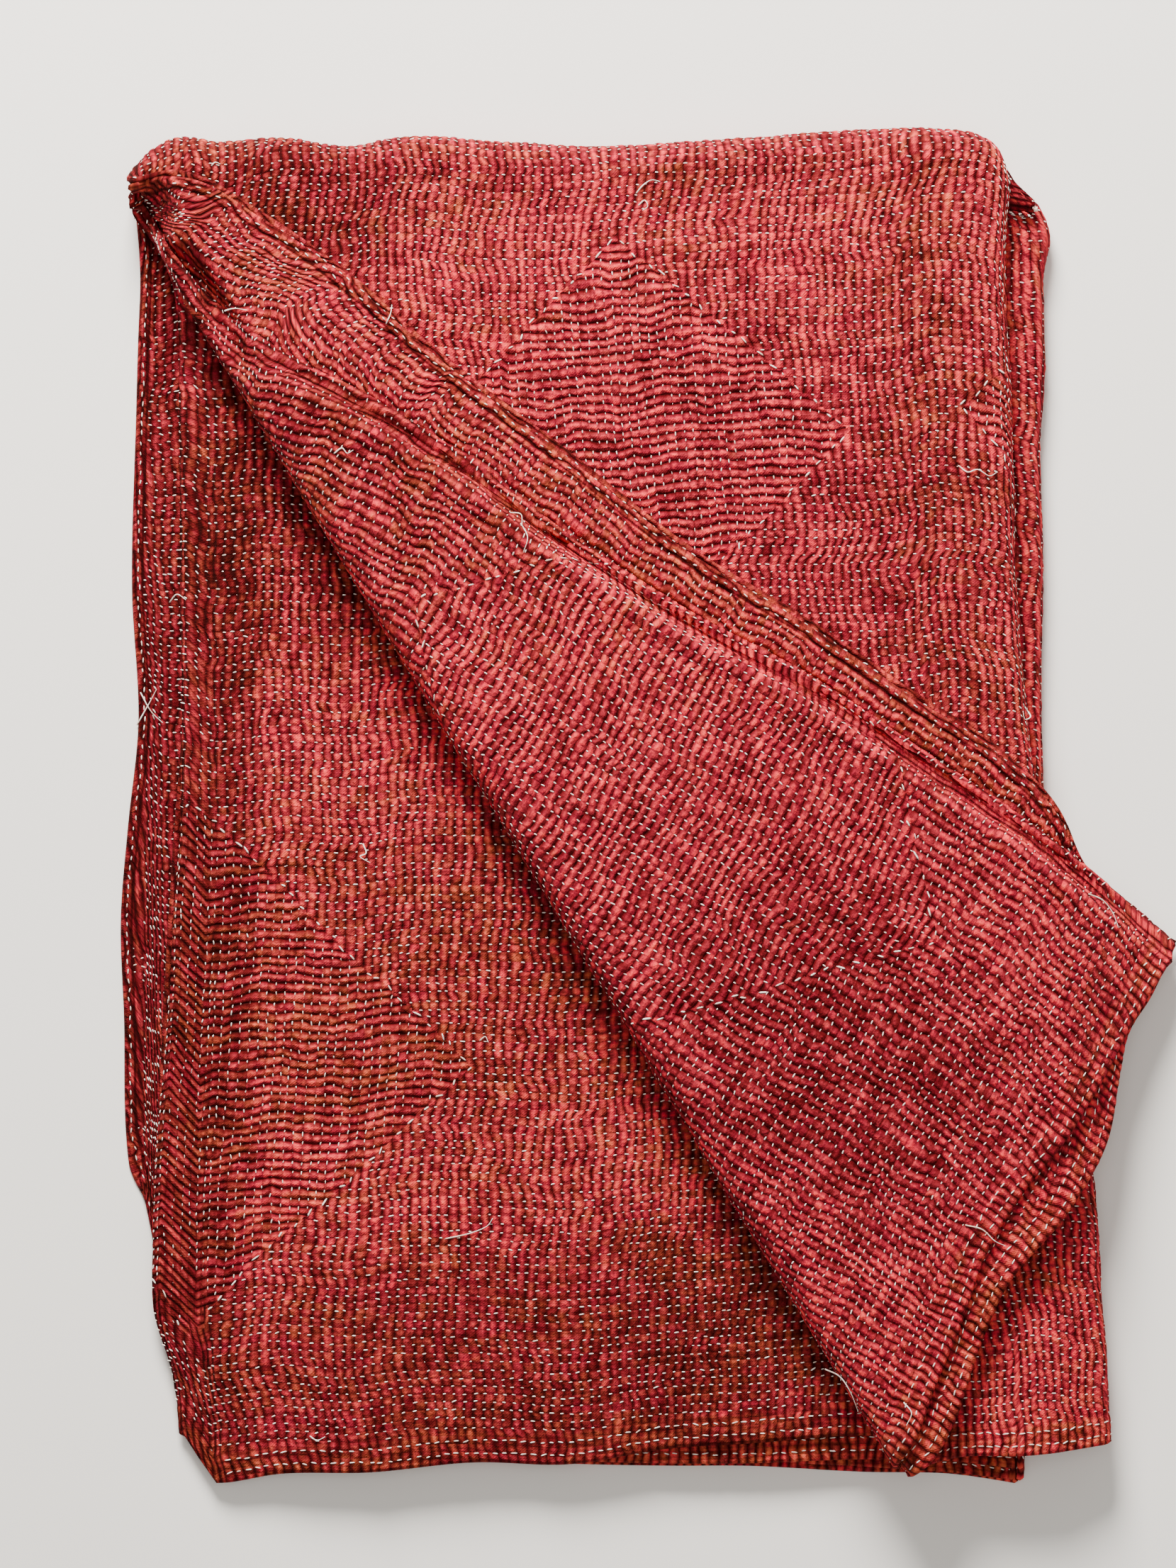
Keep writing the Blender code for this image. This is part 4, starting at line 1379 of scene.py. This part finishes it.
# Loose ends of thread, each as points in mm in the finished pile, seen from above
LOOSE_THREADS = (
    ((-212.5, 310.8), (-210.5, 312.5), (-208, 311.5)),
    ((-6.5, 297.5), (-3, 301.5), (1, 303.8), (5, 303)),
    ((-5.5, 291.5), (-2.5, 294), (-1, 291), (-3.5, 289)),
    ((-127.5, 233.5), (-125.5, 238), (-124.8, 243)),
    ((-62.3, 136.8), (-59, 130), (-61, 122.5)),
    ((-67.5, 142), (-62.3, 141.2), (-61.6, 136)),
    ((-152.3, 170.4), (-148.5, 173), (-146, 170.5), (-143, 172)),
    ((149.5, 165.7), (154, 162.3), (159, 163.5), (164.5, 160.4), (168, 162)),
    ((182.2, 48.5), (185, 44), (182, 42.5), (181, 46.5)),
    ((-139.6, -18), (-138, -22.6), (-141, -24.3), (-136, -27.3)),
    ((-82.7, -114), (-80, -112), (-78.5, -114.8)),
    ((-99.9, -210.7), (-88, -208), (-79.5, -204.6), (-76.3, -200.5)),
    ((-165.5, -306.8), (-162, -308.8), (-158, -307)),
    ((-234.5, 100), (-230.6, 103.7), (-226, 100.9)),
    ((-250.7, 40), (-245, 50), (-241, 57.5)),
    ((-249, 56), (-244, 47), (-238, 41)),
    ((152, -201.5), (160, -203.5), (166, -209), (171.5, -211.8)),
    ((212, -42), (219, -45), (224, -51), (227, -58.5)),
    ((85, -272.5), (92, -275.6), (97, -283), (101, -293)),
    ((122.3, -287), (126, -292), (123.5, -298)),
    ((-205.3, 239.5), (-200, 240.8), (-194.5, 240)),
)
LOOSE_THICK = 0.36 * MM
LOOSE_SIDES = 5
LOOSE_SLOPE = 0.8


def smooth_line(points, per_span=7):
    """A smooth line through the points."""
    points = np.array(points, float)
    ends = np.concatenate([[2 * points[0] - points[1]], points, [2 * points[-1] - points[-2]]])
    line = []
    for a, b, c, d in zip(ends[:-3], ends[1:-2], ends[2:-1], ends[3:]):
        for t in np.linspace(0, 1, per_span, endpoint=False):
            line.append(b + 0.5 * t * (c - a + t * (2 * a - 5 * b + 4 * c - d + t * (3 * (b - c) + d - a))))
    return np.array([*line, points[-1]])


def loose_threads(material):
    """Ends of thread that were never cut off, lying on the cloth, one end of each coming out of it."""
    bpy.context.view_layer.update()
    graph = bpy.context.evaluated_depsgraph_get()
    places, faces = [], []
    for thread in LOOSE_THREADS:
        line = smooth_line(thread) * MM
        share = np.linspace(0, 1, len(line))
        path = []
        for (x, y), along in zip(line, share):
            hit, where, *_ = bpy.context.scene.ray_cast(graph, (x, y, 1.0), (0, 0, -1))
            lift = -0.3 + 1.0 * min(along / 0.25, 1) + 0.8 * along**2
            path.append((x, y, (where.z if hit else 0) + lift * MM))
        path = np.array(path)
        path[1:-1, 2] = np.maximum(path[1:-1, 2], (path[:-2, 2] + path[2:, 2]) / 2)
        path[:, 2] = np.maximum(path[:, 2], 2 * LOOSE_THICK)
        # A thread that comes to a drop spans it at a slope
        for order in (range(1, len(path)), range(len(path) - 2, -1, -1)):
            for k in order:
                before = path[k - order.step]
                fall = LOOSE_SLOPE * np.hypot(*(path[k, :2] - before[:2]))
                path[k, 2] = max(path[k, 2], before[2] - fall)
        way = unit(np.gradient(path, axis=0))
        beside = unit(np.cross(way, (0, 0, 1)))
        over = np.cross(beside, way)
        first = len(places)
        width = LOOSE_THICK * np.clip(1.2 - share, 0.45, 1)
        for k in range(len(path)):
            for turn in (2 * math.pi * m / LOOSE_SIDES for m in range(LOOSE_SIDES)):
                places.append(path[k] + width[k] * (math.cos(turn) * beside[k] + math.sin(turn) * over[k]))
        for k in range(len(path) - 1):
            for m in range(LOOSE_SIDES):
                a = first + k * LOOSE_SIDES + m
                b = first + k * LOOSE_SIDES + (m + 1) % LOOSE_SIDES
                faces.append((b, a, a + LOOSE_SIDES, b + LOOSE_SIDES))
        faces.append(tuple(first + m for m in range(LOOSE_SIDES)))
        last = first + (len(path) - 1) * LOOSE_SIDES
        faces.append(tuple(last + m for m in reversed(range(LOOSE_SIDES))))
    mesh = bpy.data.meshes.new("loose_threads")
    mesh.from_pydata([tuple(place) for place in places], [], faces)
    mesh.materials.append(material)
    mesh.shade_smooth()
    piece = bpy.data.objects.new("loose_threads", mesh)
    bpy.context.scene.collection.objects.link(piece)
    return piece


def make_cloth(material):
    """The sheet in four closed meshes, and what of each face shows."""
    corners, tree = block_grid()
    seen = {side: seen_blocks(corners[side], tree, side) for side in (1, -1)}
    leaves = {side: leaf_faces(seen[side], corners[side], side) for side in (1, -1)}
    used = {side: leaf_corners(leaves[side]) for side in (1, -1)}
    under_i, page_i = (cell_line(part, SIDE_HEM, LAST_HEM, CELLS_ACROSS) for part in PARTS_ACROSS)
    half_j = cell_line(HALF_WAY, FOOT_HEM, FLAT_HEAD, CELLS_UP)
    join_rims(used, (0, under_i, page_i, CELLS_ACROSS), (0, half_j, CELLS_UP))
    faces = {}
    for side in (1, -1):
        number, where, data = cloth_points(used[side], side, seen[side])
        rings, starts = face_rings(leaves[side], used[side])
        faces[side] = (number, where, data, rings, starts, used[side])
    boxes = {
        "throw_underside": (0, under_i, 0, half_j),
        "throw_lower_pages": (under_i, CELLS_ACROSS, 0, half_j),
        "throw_top_page": (0, page_i, half_j, CELLS_UP),
        "throw_turned_pages": (page_i, CELLS_ACROSS, half_j, CELLS_UP),
    }
    pieces = {name: cloth_part(name, faces, box, material) for name, box in boxes.items()}
    return pieces, boxes, seen


def cell_line(where, low, high, cells):
    """The line of the grid nearest to this flat place, between two of the largest faces."""
    coarse = LEAF * BLOCK
    return round((where - low) / (high - low) * cells / coarse) * coarse


def part_of(stitches, box):
    low_u, low_v = cell_places(box[0], box[2])
    high_u, high_v = cell_places(box[1], box[3])
    u, v = stitches[:, 0], stitches[:, 1]
    return stitches[(u >= low_u) & (u < high_u) & (v >= low_v) & (v < high_v)]


SLACK = cloth_slack()


def main():
    cotton = quilted_cotton()
    thread = thread_material()
    cloth, boxes, seen = make_cloth(cotton)
    tree = stitch_tree()
    stitches = all_stitches()
    rows = {side: stitches_seen(stitches, seen[side]) for side in (1, -1)}
    loose = loose_threads(thread)
    for name, piece in cloth.items():
        sewn = [loose] if name == "throw_top_page" else []
        for side, face in ((1, "upper"), (-1, "under")):
            chosen = part_of(rows[side], boxes[name])
            if len(chosen):
                label = name.replace("throw", "stitches") + "_" + face
                sewn.append(stitch_piece(label, chosen, side, tree, thread))
        for part in (piece, *sewn):
            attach(part, "root")
        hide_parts("throw")
    make_floor()
    make_light()
    make_camera()


main()
